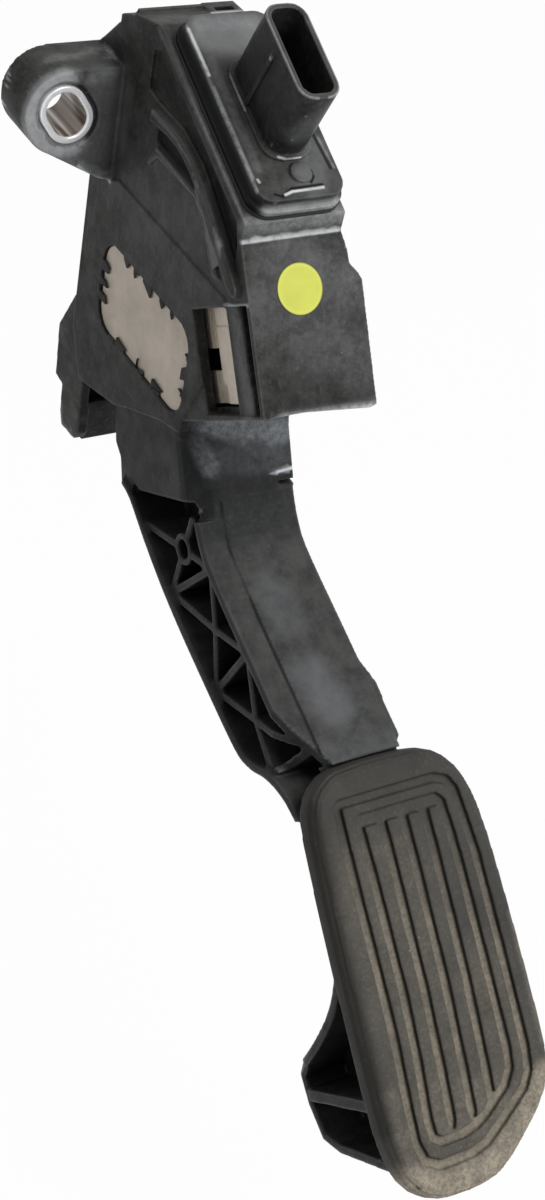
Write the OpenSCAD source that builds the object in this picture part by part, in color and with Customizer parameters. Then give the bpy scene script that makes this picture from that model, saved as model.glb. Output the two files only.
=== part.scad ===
// Accelerator pedal, electronic throttle type, suspended arm with rubber pad.
// Millimetres. X to the driver's right, Y into the bulkhead, Z up.
// The origin is the lower bolt bore on the mounting plane.

/* [Housing] */
// outside width of the upper part that carries the sensor cover
upper_width = 24.8; // [23:0.1:28]
// how much narrower the front block is than the part round the arm
block_in = 4.5; // [3:0.5:6]
// side wall thickness
wall = 2.5; // [2:0.1:3.5]
// thickness of the back wall
back_wall = 3; // [2.5:0.1:4]
// depth of the valley beside the ribs
valley_d = 1.2; // [0.5:0.1:1.5]
// height of the raised side ribs
rib_rise = 1.2; // [0.6:0.1:2]
// height of the step along the side wall
step_rise = 0.4; // [0.2:0.1:0.8]
// tilt of the front block face from vertical
block_tilt = 33; // [30:0.5:36]
// thickness of the locating tongue
tongue_t = 3; // [2:0.1:3]

/* [Mounting ears] */
// depth of the upper ear along the bolt
ear_depth = 14; // [12:0.5:16]
// outer radius of the upper ear
ear_r = 10.3; // [9:0.1:12]
// depth of the lower ear along the bolt
low_ear_depth = 9.5; // [8:0.5:10]
// outer radius of the lower ear
low_ear_r = 10.5; // [9.5:0.5:12]
// radius of the bolt holes in the sleeves
bolt_r = 4.15; // [3.3:0.05:4.5]
// half of the extra length of the slotted upper hole
slot_half = 1.6; // [1:0.1:2]
// direction of the slot below the X axis
slot_angle = 56; // [50:1:62]
// wall of the steel sleeves
sleeve_wall = 1.6; // [1.2:0.1:2]
// radial play of a sleeve in its ear
sleeve_play = 0.05; // [0.02:0.01:0.1]
// how far a sleeve stands behind its ear
sleeve_proud = 0.2; // [0.1:0.1:0.5]
// width of the shallow ring cut round each sleeve
ear_ring = 1; // [0.5:0.1:1.5]

/* [Side windows] */
// length of the rounded side window
window_len = 44; // [40:0.5:46]
// height of the rounded side window
window_h = 23.4; // [21:0.2:25]
// corner radius of the side window
window_r = 6; // [4:0.5:8]
// thickness of the steel side plates
plate_t = 1; // [0.8:0.1:1.2]
// depth of the plates behind the face of the wall
plate_in = 0.3; // [0.2:0.05:0.6]
// how far the small teeth reach over the plate
tooth = 1.6; // [1:0.1:2.4]
// side of the corner window along the block depth
corner_len = 24.4; // [22:0.2:25]
// side of the corner window along the front face
corner_h = 23.6; // [21:0.2:24]
// thickness of the strip bracket in the corner window
bracket_t = 1.2; // [0.8:0.1:1.5]
// width of the bright strip of the bracket
strip_w = 5.6; // [4:0.1:6]
// width of the set back half of the bracket
back_w = 9; // [8:0.1:10]
// height of the gap between the two halves at the back
gap_h = 5; // [4:0.1:8]

/* [Sensor cover] */
// slope of the cover from horizontal
cover_slope = 26.4; // [24:0.2:29]
// height of the raised cover above the ledge
cover_rise = 4.5; // [3.5:0.1:6]
// thickness of the seal under the cover
gasket_t = 0.8; // [0.5:0.1:1.2]
// length of the cover along the slope
cover_len = 47.9; // [46:0.1:50]
// width of the flange round the raised cover
flange_w = 0.9; // [0.5:0.1:1.2]
// width of the seal
seal_w = 2.2; // [1.5:0.1:2.6]
// corner radius of the cover
cover_r = 4; // [3:0.5:6]
// outside width of the connector shroud
shroud_w = 9.9; // [9:0.1:11]
// outside length of the connector shroud
shroud_len = 23.8; // [22:0.1:25]
// corner radius of the connector shroud
shroud_r = 3.6; // [3:0.1:4.2]
// wall of the connector shroud
shroud_wall = 1.3; // [1:0.1:1.8]
// height of the shroud mouth above the ledge
shroud_top = 25; // [22:0.5:28]
// spacing of the six connector pins
pin_pitch = 2.8; // [2.4:0.1:3]
// width of a connector pin
pin_w = 1.5; // [1:0.1:1.6]
// thickness of a connector pin
pin_t = 0.6; // [0.5:0.1:0.8]
// depth of the board under the ledge
board_drop = 3.4; // [3:0.1:4]
// thickness of the circuit board
board_t = 1.6; // [1:0.2:2]
// diameter of the round sticker
dot_d = 11; // [9:0.5:13]
// thickness of the round sticker
dot_t = 0.15; // [0.1:0.05:0.3]

/* [Pivot and springs] */
// radius of the pivot shaft
shaft_r = 4; // [3.5:0.25:5]
// wall of the shaft bushes
bush_wall = 1.5; // [1:0.1:1.8]
// radial play of the shaft in its bushes
shaft_play = 0.04; // [0.02:0.01:0.1]
// outer radius of the arm hub
hub_r = 11; // [10:0.5:11.4]
// mean radius of the outer spring
spring_r = 6.3; // [5.8:0.1:6.6]
// wire radius of the outer spring
wire_r = 0.8; // [0.6:0.05:0.9]
// mean radius of the inner spring
spring_in_r = 3.9; // [3.4:0.1:4]
// wire radius of the inner spring
wire_in_r = 0.6; // [0.5:0.05:0.7]
// gap that pieces at rest keep from a seat
gap = 0.3; // [0.2:0.05:0.4]

/* [Arm] */
// gap between the arm and the side walls of the housing
side_play = 0.5; // [0.3:0.1:1]
// width of the arm
arm_width = 27; // [25:0.5:27.2]
// radius of the front left corner of the neck
neck_r = 7; // [4:0.5:9]
// thickness of the front face of the arm
front_t = 2.6; // [2:0.1:3.2]
// thickness of the rear flange of the arm
rear_t = 2.2; // [1.8:0.1:3]
// distance of the crease in the face from the left side of the housing
crease_x = 10; // [6:0.5:14]
// rise of the panel right of the crease
panel_rise = 0.35; // [0.1:0.05:0.6]
// thickness of the middle web and the lattice ribs
rib_t = 1.9; // [1.5:0.1:2.5]
// outer radius of the hollow lattice boss
boss_r = 4; // [3.5:0.1:4.5]

/* [Pad] */
// tilt of the pad from vertical
pad_tilt = 45; // [42:0.5:48]
// thickness of the rubber pad
pad_t = 6.5; // [5.5:0.5:8]
// rounding of the pad's outer edge
edge_r = 3; // [1:0.25:4]
// depth of the pad grooves
groove_d = 1.2; // [0.8:0.1:2.5]
// width of the pad grooves
groove_w = 2.3; // [1.4:0.1:2.8]

/* [Hidden] */
$fn = 48;
e = 0.01;
arm_left = wall + side_play;
lower_w = arm_width + 2 * arm_left;
block_width = lower_w - block_in;
// mounting plane and ear centres, measured from the left side of the housing
mount_y = 15;
ear_c = [-13, 3.9];
slot_c = [-13, 3.5];
low_c = [lower_w + 4.5, -71.5];
back_y = 11.5;
hub_c = [-26, -20];
arm_right = arm_left + arm_width;
block_top = [-57.7, 2.9];
block_h = 37.2;
// lower edge of the block's face
block_end = block_top + [-20.2, -31.2] * block_h / 37.2;
cover_org = [-35.15, 18.8];
pad_org = [-134.1, -115];
rise_top = gasket_t + cover_rise;
pin_n = 6;
shroud_c = [13.3, -2];
sleeve_r = bolt_r + sleeve_wall;
bush_r = shaft_r + shaft_play + bush_wall;
hub_left = 7;
hub_right = lower_w - 6.5;
spring_c = [upper_width / 2, -8];
lever_right = upper_width / 2 + 6.5;
magnet_x = [0.38, 0.74] * upper_width;
magnet_r = 22;
plate_x = plate_in;
bracket_low = -10.8 - corner_h;
strip_u = 15.5;
bracket_h = corner_h - 2.4;
window_front = -44.4;
window_top = -28;
cover_c = [upper_width / 2 + 0.6, -0.3];
cover_w = upper_width - 3.5;
board_len = 40.5;
pad_top = 23.8;
seat_z = -15.5;
spring_z0 = seat_z + 1.5 + gap;
spring_z1 = 12.4;

// move from the housing's own side frame to the frame of the part
module place() {
  translate([-low_c[0], -mount_y, -low_c[1]]) children();
}
// a YZ outline run along X from x0 to x1
module yz(x0, x1) {
  translate([x0, 0, 0]) rotate([90, 0, 90]) linear_extrude(height = x1 - x0) children();
}
// an XZ outline run along Y from y0 to y1
module xz(y0, y1) {
  translate([0, y1, 0]) rotate([90, 0, 0]) linear_extrude(height = y1 - y0) children();
}
// frame of the front block: u runs back into the block, v runs down the face
module block_frame() {
  translate([0, block_top[0], block_top[1]]) rotate([-block_tilt, 0, 0]) children();
}
// frame of the cover: X, up the slope, out of the slope
module cover_frame() {
  translate([0, cover_org[0], cover_org[1]]) rotate([cover_slope, 0, 0]) children();
}
// frame of the pad: X, up the pad, out of the pad
module pad_frame() {
  translate([0, pad_org[0], pad_org[1]]) rotate([pad_tilt, 0, 0]) children();
}
// rounded rectangle by its low corner, without tangent joins
module round_rect(x, y, w, h, r) {
  polygon([for (c = [[x + w - r, y + r, 270], [x + w - r, y + h - r, 0], [x + r, y + h - r, 90],
    [x + r, y + r, 180]])
    for (k = [0 : 6]) [c[0] + r * cos(c[2] + k * 15), c[1] + r * sin(c[2] + k * 15)]]);
}
// smooth curve through points
function mix4(a, b, c, d, t) = 0.5 * (2 * b + (c - a) * t + (2 * a - 5 * b + 4 * c - d) * t * t
  + (3 * b - a - 3 * c + d) * t * t * t);
function curve(p, n) = [for (i = [0 : len(p) - 2]) for (k = [0 : n - 1])
  mix4(p[max(i - 1, 0)], p[i], p[i + 1], p[min(i + 2, len(p) - 1)], k / n), p[len(p) - 1]];
function unit(v) = v / norm(v);
function left(v) = [-v[1], v[0]];
function side(p, i) = unit(unit(p[min(i + 1, len(p) - 1)] - p[min(i, len(p) - 2)])
  + unit(p[max(i, 1)] - p[max(i - 1, 0)]));
function shifted(p, t) = [for (i = [0 : len(p) - 1]) p[i] + left(side(p, i)) * t];
function pad_pt(s, h) = pad_org + [s * cos(pad_tilt) - h * sin(pad_tilt),
  s * sin(pad_tilt) + h * cos(pad_tilt)];
function flipped(p) = [for (i = [len(p) - 1 : -1 : 0]) p[i]];
// band of thickness t on the left of a line of points
module band(p, t) {
  polygon(concat(p, flipped(shifted(p, t))));
}
// band between two shifts of a line of points
module skin(p, a, b) {
  polygon(concat(shifted(p, a), flipped(shifted(p, b))));
}
// straight rib between two points
module rib(a, b, t) {
  n = left(unit(b - a)) * t / 2;
  polygon([a - n, b - n, b + n, a + n]);
}
module slot_hole(r, y0, y1) {
  d = [cos(slot_angle), -sin(slot_angle)] * slot_half;
  xz(y0, y1) polygon([for (k = [1, -1]) for (a = [-90 : 9 : 90])
    slot_c + k * d + k * r * [cos(a - slot_angle), sin(a - slot_angle)]]);
}
module x_pin(c, r, x0, x1) {
  translate([x0, c[0], c[1]]) rotate([0, 90, 0]) cylinder(r = r, h = x1 - x0);
}

// a point on the ledge, s up the slope
function ledge(s) = cover_org + s * [cos(cover_slope), sin(cover_slope)];
// outlines of the housing in the YZ plane
upper_out = [[5.5, 24.8], [-0.6, 27.6], ledge(25.6), ledge(-25.6), block_top, [-62, -3.7], [-58, -12],
  [back_y, -12], [back_y, 14], [5.5, 21]];
lower_out = [[back_y, -6], [-58, -6], [-60, -18], [-46, -50.4], [-45.3, -54.1], [-37.1, -56.3],
  [-21.1, -63.5], [-14.2, -67.1], [1.2, -71.1], [5.4, -71.6], [back_y, -71.6]];
// the full width starts further back than the left wall
wide_out = [[back_y, -8], [-48, -12], [-52, -18], [-52, -36.5], [-46, -50.4], [-45.3, -54.1], [-37.1, -56.3],
  [-21.1, -63.5], [-14.2, -67.1], [1.2, -71.1], [5.4, -71.6], [back_y, -71.6]];
block_out = [block_top, [-63.6, -6.2], block_end, [-46, -50.4], [-44, -46], [-44, -6], [-50, 2.9]];
block_low = [[-63.6, -6.2], block_end, [-46, -50.4], [-44, -46], [-44, -6]];
cavity_up = [[3, 20.6], [-7.3, 20.3], [-53.2, -2.4], [-56, -8], [-52, -16], [back_y - back_wall, -16],
  [back_y - back_wall, 12.5]];
cavity_low = [[back_y - back_wall, -8.2], [-54, -8.2], [-56.5, -16.5], [-47.5, -44.5], [-46.6, -48.3],
  [-46.6, -80], [back_y - back_wall, -80]];
cavity_wide = [[back_y - back_wall, -9.8], [-45.6, -13.6], [-49.4, -19], [-49.4, -36], [-46.7, -46],
  [-46.7, -80], [back_y - back_wall, -80]];
cavity_block = [[-53, -6], [-58.4, -5.4], [-73.3, -28.4], [-45, -48], [-43, -44], [-43, -8]];
tongue_out = [[back_y, -50], [19.6, -64.6], [18.6, -79.3], [14.6, -79.6], [14.1, -87.5], [12.6, -91.1],
  [5, -90.5], [3.5, -88], [3.5, -70.5], [1.2, -66]];

valley = [[-16, 14.2], [-28, 14], [-38.5, 10.6], [-50, 2.6], [-56.5, -2.8], [-56.4, 1.8],
  ledge(-22.5) + [0.6, -2.6], ledge(21) + [1, -2.6], [-11, 24], [-11, 15]];

// small hooked teeth over the rim of the plate: share along the side, length, lean
module teeth(x0, x1) {
  low = window_top - window_h;
  rear = window_front + window_len;
  yz(x0, x1) {
    for (k = [[0.22, 3, 1.1], [0.35, 2, 0.8], [0.45, 4, 1.6], [0.64, 2.4, 1.1], [0.76, 1.4, 0.8]])
      hook([rear - k[0] * window_len, window_top], [-1, 0], [0, -1], k[1], k[2] * tooth / 1.6);
    for (k = [[0.25, 4.6, 1.3], [0.49, 3.8, 1.4], [0.67, 4.8, 1.3]])
      hook([rear - k[0] * window_len, low], [-1, 0], [0, 1], k[1], k[2] * tooth / 1.6);
    for (k = [[0.27, 1.8, 1.1], [0.45, 2, 1.1], [0.66, 1.6, 0.8]])
      hook([rear, window_top - k[0] * window_h], [0, -1], [-1, 0], k[1], k[2] * tooth / 1.6);
    for (k = [[0.24, 1.6, 0.9], [0.38, 3.6, 1.6], [0.66, 1.8, 1.3]])
      hook([window_front, window_top - k[0] * window_h], [0, -1], [1, 0], k[1], k[2] * tooth / 1.6);
  }
}
// tooth that rises slowly along the side and drops steeply
module hook(at, along, inside, length, height) {
  polygon([for (q = [[0, -0.6], [0, 0.25 * height], [0.75 * length, height], [length, 0.9 * height],
    [0.86 * length, 0], [0.86 * length, -0.6]]) at + q[0] * along + q[1] * inside]);
}
module window(m) {
  round_rect(window_front + m, window_top - window_h + m, window_len - 2 * m, window_h - 2 * m,
    window_r - m);
}

module housing_shape() {
  difference() {
    union() {
      yz(0, upper_width) polygon(upper_out);
      yz(0, block_width) polygon(lower_out);
      yz(0, lower_w) polygon(wide_out);
      yz(0, upper_width) polygon(block_out);
      yz(0, block_width) polygon(block_low);
      // rolled lower edge, deeper on the right
      block_frame() xz(0.02, 3) polygon([[4, -block_h + 0.6], [block_width, -block_h + 0.6],
        [block_width, -block_h - 1], [block_width - 1.6, -block_h - 1.5]]);
      // shoulder where the block gets wider on the right
      block_frame() xz(0.02, 14) polygon([[upper_width - 2, -0.5], [upper_width, -0.5],
        [upper_width + 0.8, -3.6], [upper_width + 1.2, -7.4], [block_width - 0.5, -9.7],
        [block_width - e, -12.4], [upper_width - 2, -12.4]]);
      // lower skin of the left wall, one step proud
      yz(-step_rise, 1) polygon([[back_y, -17], [2, -14.5], [-3, -12], [-55, -12], [-58.5, -14.5],
        [-60, -18], [-46, -50.4], [-45.3, -54.1], [-37.1, -56.3], [-21.1, -63.5], [-14.2, -67.1], [1.2,
        -71.1], [5.4, -71.6], [back_y, -60]]);
      // raised side ribs round the triangular recess
      yz(-rib_rise, 1) polygon(curve([[-15, 12.2], [-28, 12.4], [-38.5, 9], [-50, 1], [-60.3, -6.8],
        [-57.8, -9.2], [-49, -3.2], [-38, 5.2], [-28, 9.6], [-15, 9.4]], 3));
      yz(-rib_rise * 0.8, 1) polygon([[-15.5, 0.4], [-19, 4.9], [-38.5, 4.6], [-44.5, 1.2], [-52.3,
        -9], [-49.8, -9.8], [-43, -1.2], [-38, 2.9], [-20, 2.9], [-16.3, -1]]);
      // tongue
      yz(0, tongue_t) polygon(tongue_out);
      // skirt behind the arm
      yz(tongue_t, 22)
        polygon([[4.5, -66], [back_y, -66], [back_y, -84], [9, -92.5], [6.5, -92.5], [5.4, -84]]);
      // upper ear
      xz(mount_y - ear_depth, mount_y) union() {
        translate([ear_c[0], ear_c[1]]) circle(r = ear_r);
        polygon([[ear_c[0], ear_c[1] + ear_r], [6, ear_c[1] + ear_r], [6, -15.4], [0, -14.3],
          [-3.6, -13.2], [ear_c[0] - ear_r * 0.589, ear_c[1] - ear_r * 0.808]]);
      }
      // web from the ear up to the top wall
      yz(0, 4) polygon([[15, 13.9], [5.5, 23], [0, 23], [0, 10], [15, 10]]);
      // lower ear
      xz(mount_y - low_ear_depth, mount_y) union() {
        translate([low_c[0], low_c[1]]) circle(r = low_ear_r);
        polygon([[block_width, -40], [lower_w, -40], [low_c[0] + low_ear_r * 0.94,
          low_c[1] + low_ear_r * 0.34], low_c, [low_c[0] - low_ear_r * 0.4,
          low_c[1] - low_ear_r * 0.917], [block_width, -71]]);
      }
      // dark rib and small loop on the top edge
      translate([0.6, -1.6, 26.6]) cube([18, 1.4, 2]);
      translate([16.5, -5.4, 27.4]) cube([8.2, 5.4, 1.3]);
    }
    // mechanism space
    yz(wall, upper_width - wall) polygon(cavity_up);
    yz(wall, block_width - wall) polygon(cavity_low);
    yz(wall, lower_w - wall) polygon(cavity_wide);
    yz(wall, upper_width - wall) polygon(cavity_block);
    x_pin(hub_c, hub_r + 0.6, wall, hub_right + 0.4);
    // valley between the ribs and the cover
    yz(-1, valley_d) polygon(valley);
    // triangular recess
    yz(-1, 0.9) polygon([[-17.5, 5.6], [-37.8, 5.3], [-32, 8.4], [-26, 9.3], [-17.5, 9]]);
    // slot through the small loop
    translate([18.2, -4.2, 27.2]) cube([4.8, 1.8, 3]);
    // side windows, left and right
    yz(-2, wall + 1) window(0);
    yz(lower_w - wall - 1, lower_w + 1) window(0);
    // corner window
    block_frame() translate([-2, 1.4, -13 - corner_h]) cube([wall + 3, corner_len, corner_h]);
    // pocket of the board
    cover_frame() translate([wall, -board_len / 2 - 1.8, -8])
      cube([upper_width - 2 * wall, board_len + 3.6, 12]);
    // holes of the sleeves
    slot_hole(sleeve_r + sleeve_play, mount_y - ear_depth - 1, mount_y + 1);
    slot_hole(sleeve_r + ear_ring, mount_y - ear_depth - 1, mount_y - ear_depth + 0.9);
    translate([low_c[0], mount_y + 1, low_c[1]]) rotate([90, 0,
      0]) cylinder(r = sleeve_r + sleeve_play, h = low_ear_depth + 2);
    translate([low_c[0], mount_y - low_ear_depth + 0.9, low_c[1]]) rotate([90, 0,
      0]) cylinder(r = sleeve_r + ear_ring, h = 2);
  }
}

module housing_body() {
  place() color([0.2, 0.2, 0.19]) difference() {
    union() {
      housing_shape();
      // bosses of the shaft bushes
      x_pin(hub_c, bush_r + 2.4, 1, hub_left - gap - 0.2);
      x_pin(hub_c, bush_r + 2.4, hub_right + gap + 0.2, lower_w - 1);
      // teeth over the steel plates
      teeth(-0.3, plate_x - e);
      teeth(lower_w - plate_x + e, lower_w);
      // grey bar inside the corner window
      block_frame() translate([0.9, 5.4, -13.6 - corner_h]) cube([wall, 7, corner_h + 1.2]);
      // cross rib behind the idle stop, clear of the bracket
      translate([wall + 4.5, -47.6, -39]) cube([lower_w - 2 * wall - 4.5 + e, 2.8, 10]);
      // shelf over the springs
      translate([wall - e, -18, spring_z1 + gap]) cube([upper_width - 2 * wall + 2 * e,
        back_y + 18 - 1, 2.6]);
    }
    // bush holes: blind on the left, through on the right
    x_pin(hub_c, bush_r + shaft_play, 1.2, hub_left + 1);
    x_pin(hub_c, bush_r + shaft_play, hub_right - 1, lower_w + 1);
  }
}

module side_plate_left() {
  place() color([0.66, 0.62, 0.56]) yz(plate_x, plate_x + plate_t) window(0.15);
}
module side_plate_right() {
  place() color([0.66, 0.62, 0.56]) yz(lower_w - plate_x - plate_t, lower_w - plate_x) window(0.15);
}
module inner_bracket() {
  tab_u = strip_w - bracket_t;
  place() color([0.6, 0.56, 0.5]) block_frame() translate([wall + 0.2, strip_u, bracket_low]) difference() {
    union() {
      // bright strip, full height
      cube([bracket_t, strip_w, bracket_h]);
      // set back tabs, each with two raised folds
      translate([1, tab_u, 0]) cube([bracket_t, back_w, bracket_h]);
      for (k = [0.45, 0.58]) translate([0.7, tab_u + back_w * k, 0])
        cube([bracket_t, bracket_t * 0.4, bracket_h]);
    }
    // gap between the tabs, and the steps at the ends of the strip
    translate([-1, strip_w + 0.2, bracket_h * 0.34]) cube([bracket_t + 3, back_w, gap_h]);
    translate([-1, strip_w - 1.6, -1]) cube([bracket_t * 1.5, 5, bracket_h * 0.2 + 1]);
    translate([-1, -1, bracket_h * 0.8]) cube([1.3, strip_w + 2, 0.5]);
  }
}

// outline of the cover, wider by m all round
module cover_rect(m) {
  round_rect(cover_c[0] - cover_w / 2 - m, cover_c[1] - cover_len / 2 - m, cover_w + 2 * m,
    cover_len + 2 * m, cover_r + m);
}
module sensor_cover() {
  place() color([0.24, 0.24, 0.23]) cover_frame() difference() {
    union() {
      translate([0, 0, gasket_t]) linear_extrude(height = 1.6) cover_rect(flange_w);
      translate([0, 0, gasket_t]) linear_extrude(height = cover_rise) cover_rect(0);
      translate([0, 0, gasket_t]) linear_extrude(height = shroud_top - gasket_t)
        round_rect(shroud_c[0] - shroud_w / 2, shroud_c[1] - shroud_len / 2, shroud_w, shroud_len,
          shroud_r);
      // rib and rail on the sides of the shroud
      translate([shroud_c[0] - shroud_w / 2 - 0.8, shroud_c[1] + 0.6, gasket_t]) cube([2, 1.3,
        shroud_top - 3.5]);
      translate([shroud_c[0] + shroud_w / 2 - 1, shroud_c[1] - 6, gasket_t]) cube([1.7, 8, shroud_top - 5]);
      // round boss
      translate([14.2, -18.3, gasket_t]) cylinder(r = 2.5, h = cover_rise + 0.7);
      // low foot round the shroud
      translate([0, 0, gasket_t]) linear_extrude(height = cover_rise + 0.8)
        round_rect(shroud_c[0] - shroud_w / 2 - 1.1, shroud_c[1] - shroud_len / 2 - 1.1,
          shroud_w + 2.2, shroud_len + 2.2, shroud_r + 0.8);
    }
    translate([0, 0, rise_top + 2]) linear_extrude(height = shroud_top)
      round_rect(shroud_c[0] - shroud_w / 2 + shroud_wall, shroud_c[1] - shroud_len / 2 + shroud_wall,
        shroud_w - 2 * shroud_wall, shroud_len - 2 * shroud_wall, shroud_r - shroud_wall);
    for (k = [0 : pin_n - 1]) pin(k, 0.1, -1, rise_top + 3);
  }
}
module pin(k, m, h0, h1) {
  translate([shroud_c[0] - pin_t / 2 - m,
    shroud_c[1] + (k - (pin_n - 1) / 2) * pin_pitch - pin_w / 2 - m, h0]) cube([pin_t + 2 * m,
    pin_w + 2 * m, h1 - h0]);
}
module connector_pins() {
  place() color([0.72, 0.68, 0.58]) cover_frame()
    for (k = [0 : pin_n - 1]) pin(k, 0, -board_drop - board_t - 0.8, shroud_top - 7);
}
module cover_gasket() {
  place() color([0.1, 0.1, 0.1]) cover_frame()
    translate([0, 0, e]) linear_extrude(height = gasket_t - 2 * e) difference() {
    cover_rect(flange_w + 0.2);
    cover_rect(flange_w + 0.2 - seal_w);
  }
}
module circuit_board() {
  place() color([0.1, 0.32, 0.18]) cover_frame() difference() {
    translate([wall + 1, -board_len / 2, -board_drop - board_t])
      cube([upper_width - 2 * wall - 2, board_len, board_t]);
    for (k = [0 : pin_n - 1]) pin(k, 0.1, -board_drop - board_t - 1, 0);
  }
}
module hall_sensors() {
  place() color([0.08, 0.08, 0.08]) cover_frame() for (k = [0.4, 0.68])
    translate([k * upper_width - 1.8, 4, -board_drop - board_t - 1.6]) cube([3.6, 4.2, 1.6]);
}
module upper_sleeve() {
  place() color([0.82, 0.82, 0.82]) difference() {
    slot_hole(sleeve_r, mount_y - ear_depth + 0.1, mount_y + sleeve_proud);
    slot_hole(bolt_r, mount_y - ear_depth - 1, mount_y + 1);
  }
}
module lower_sleeve() {
  place() color([0.82, 0.82, 0.82]) difference() {
    translate([low_c[0], mount_y + sleeve_proud, low_c[1]]) rotate([90, 0, 0]) cylinder(r = sleeve_r,
      h = low_ear_depth + sleeve_proud - 0.1);
    translate([low_c[0], mount_y + 1, low_c[1]]) rotate([90, 0, 0]) cylinder(r = bolt_r,
      h = low_ear_depth + 2);
  }
}
module marker_dot() {
  place() color([0.84, 0.89, 0.34]) block_frame() translate([12.7, -dot_t - 0.02, -11.1]) rotate([-90,
    0, 0]) cylinder(r = dot_d / 2, h = dot_t);
}

// front of the arm from the neck down to the pad
front_pts = [[-43.8, -50], [-45.6, -57.5], [-50.6, -66.8], [-54.6, -73.8], [-60.2, -79.8], [-68,
  -83.6], [-78, -87.5], [-88, -91.4], [-100, -96.1], pad_pt(pad_top + gap, -4.6)];
// the space of the pad, with its gap
pad_space = [pad_pt(pad_top + gap, -pad_t - gap), pad_pt(-90, -pad_t - gap), pad_pt(-90, 20),
  pad_pt(pad_top + gap, 20)];
// carrier behind the pad: over the width of the arm, then wider
carrier_pts = [pad_pt(pad_top + gap, -pad_t - gap), pad_pt(-64.6, -pad_t - gap)];
carrier_wide = [pad_pt(13, -pad_t - gap), pad_pt(-56, -pad_t - gap)];
// rear flange from the neck down to the foot
rear_pts = [[-18.2, -88.6], [-23.4, -89.8], [-33, -95.6], [-45.3, -102], [-58, -107.2], [-72.5,
  -112.3], [-83, -115.8], [-90.5, -117.6], [-96.5, -116.4], [-101.5, -114], [-107.5, -112.7], [-113.5,
  -113.2], [-123.5, -116.6], [-130.9, -120.8], [-136.5, -128],
  [-140, -136], [-142.2, -146], [-142.3, -154], [-140.6, -165], [-138.2, -175]];
foot_pts = [[-138.2, -175], [-138.4, -180.6], [-144.2, -185.4], [-152.4, -188.8], [-159.4, -185.2],
  [-169.8, -175.8], [-177.2, -169.2]];
boss_c = [-49.2, -86.4];
node_l = [[-30.8, -92.5], [-47.3, -101.6], [-73.8, -111.2], [-102.4, -112.8]];
node_r = [[-62.2, -82.6], [-83.2, -91.2], [-108.7, -99.5]];
node_m = [[-68.7, -96], [-91.6, -104.8]];
lattice = [[boss_c, node_l[0]], [boss_c, [-50.8, -76]], [boss_c, node_l[1]], [boss_c, node_r[0]],
  [node_l[1], node_r[0]], [node_l[1], node_m[0]], [node_r[0], node_m[0]], [node_m[0], node_r[1]],
  [node_m[0], node_l[2]], [node_l[2], node_r[1]], [node_r[1], node_m[1]], [node_l[2], node_m[1]],
  [node_m[1], node_r[2]], [node_m[1], node_l[3]], [node_l[3], node_r[2]], [[-113.2, -104.4], [-119.6,
  -114.8]]];

module arm_side() {
  // outline of the whole lower arm
  polygon(concat(curve(front_pts, 3), carrier_pts, flipped(foot_pts), flipped(curve(rear_pts, 3)),
    [[-14.8, -83.1], [-11.3, -80.6], [-9, -71.5], [-8, -58], [-9, -50]]));
}
module arm_ribs() {
  for (r = lattice) rib(r[0], r[1], rib_t);
  rib([-129.5, -119], [-133, -124], rib_t);
  rib([-142, -141.6], [-150.5, -139.5], rib_t);
  rib([-144, -182], [-167, -158], rib_t + 1);
  translate(boss_c) circle(r = boss_r, $fn = 32);
}
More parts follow.
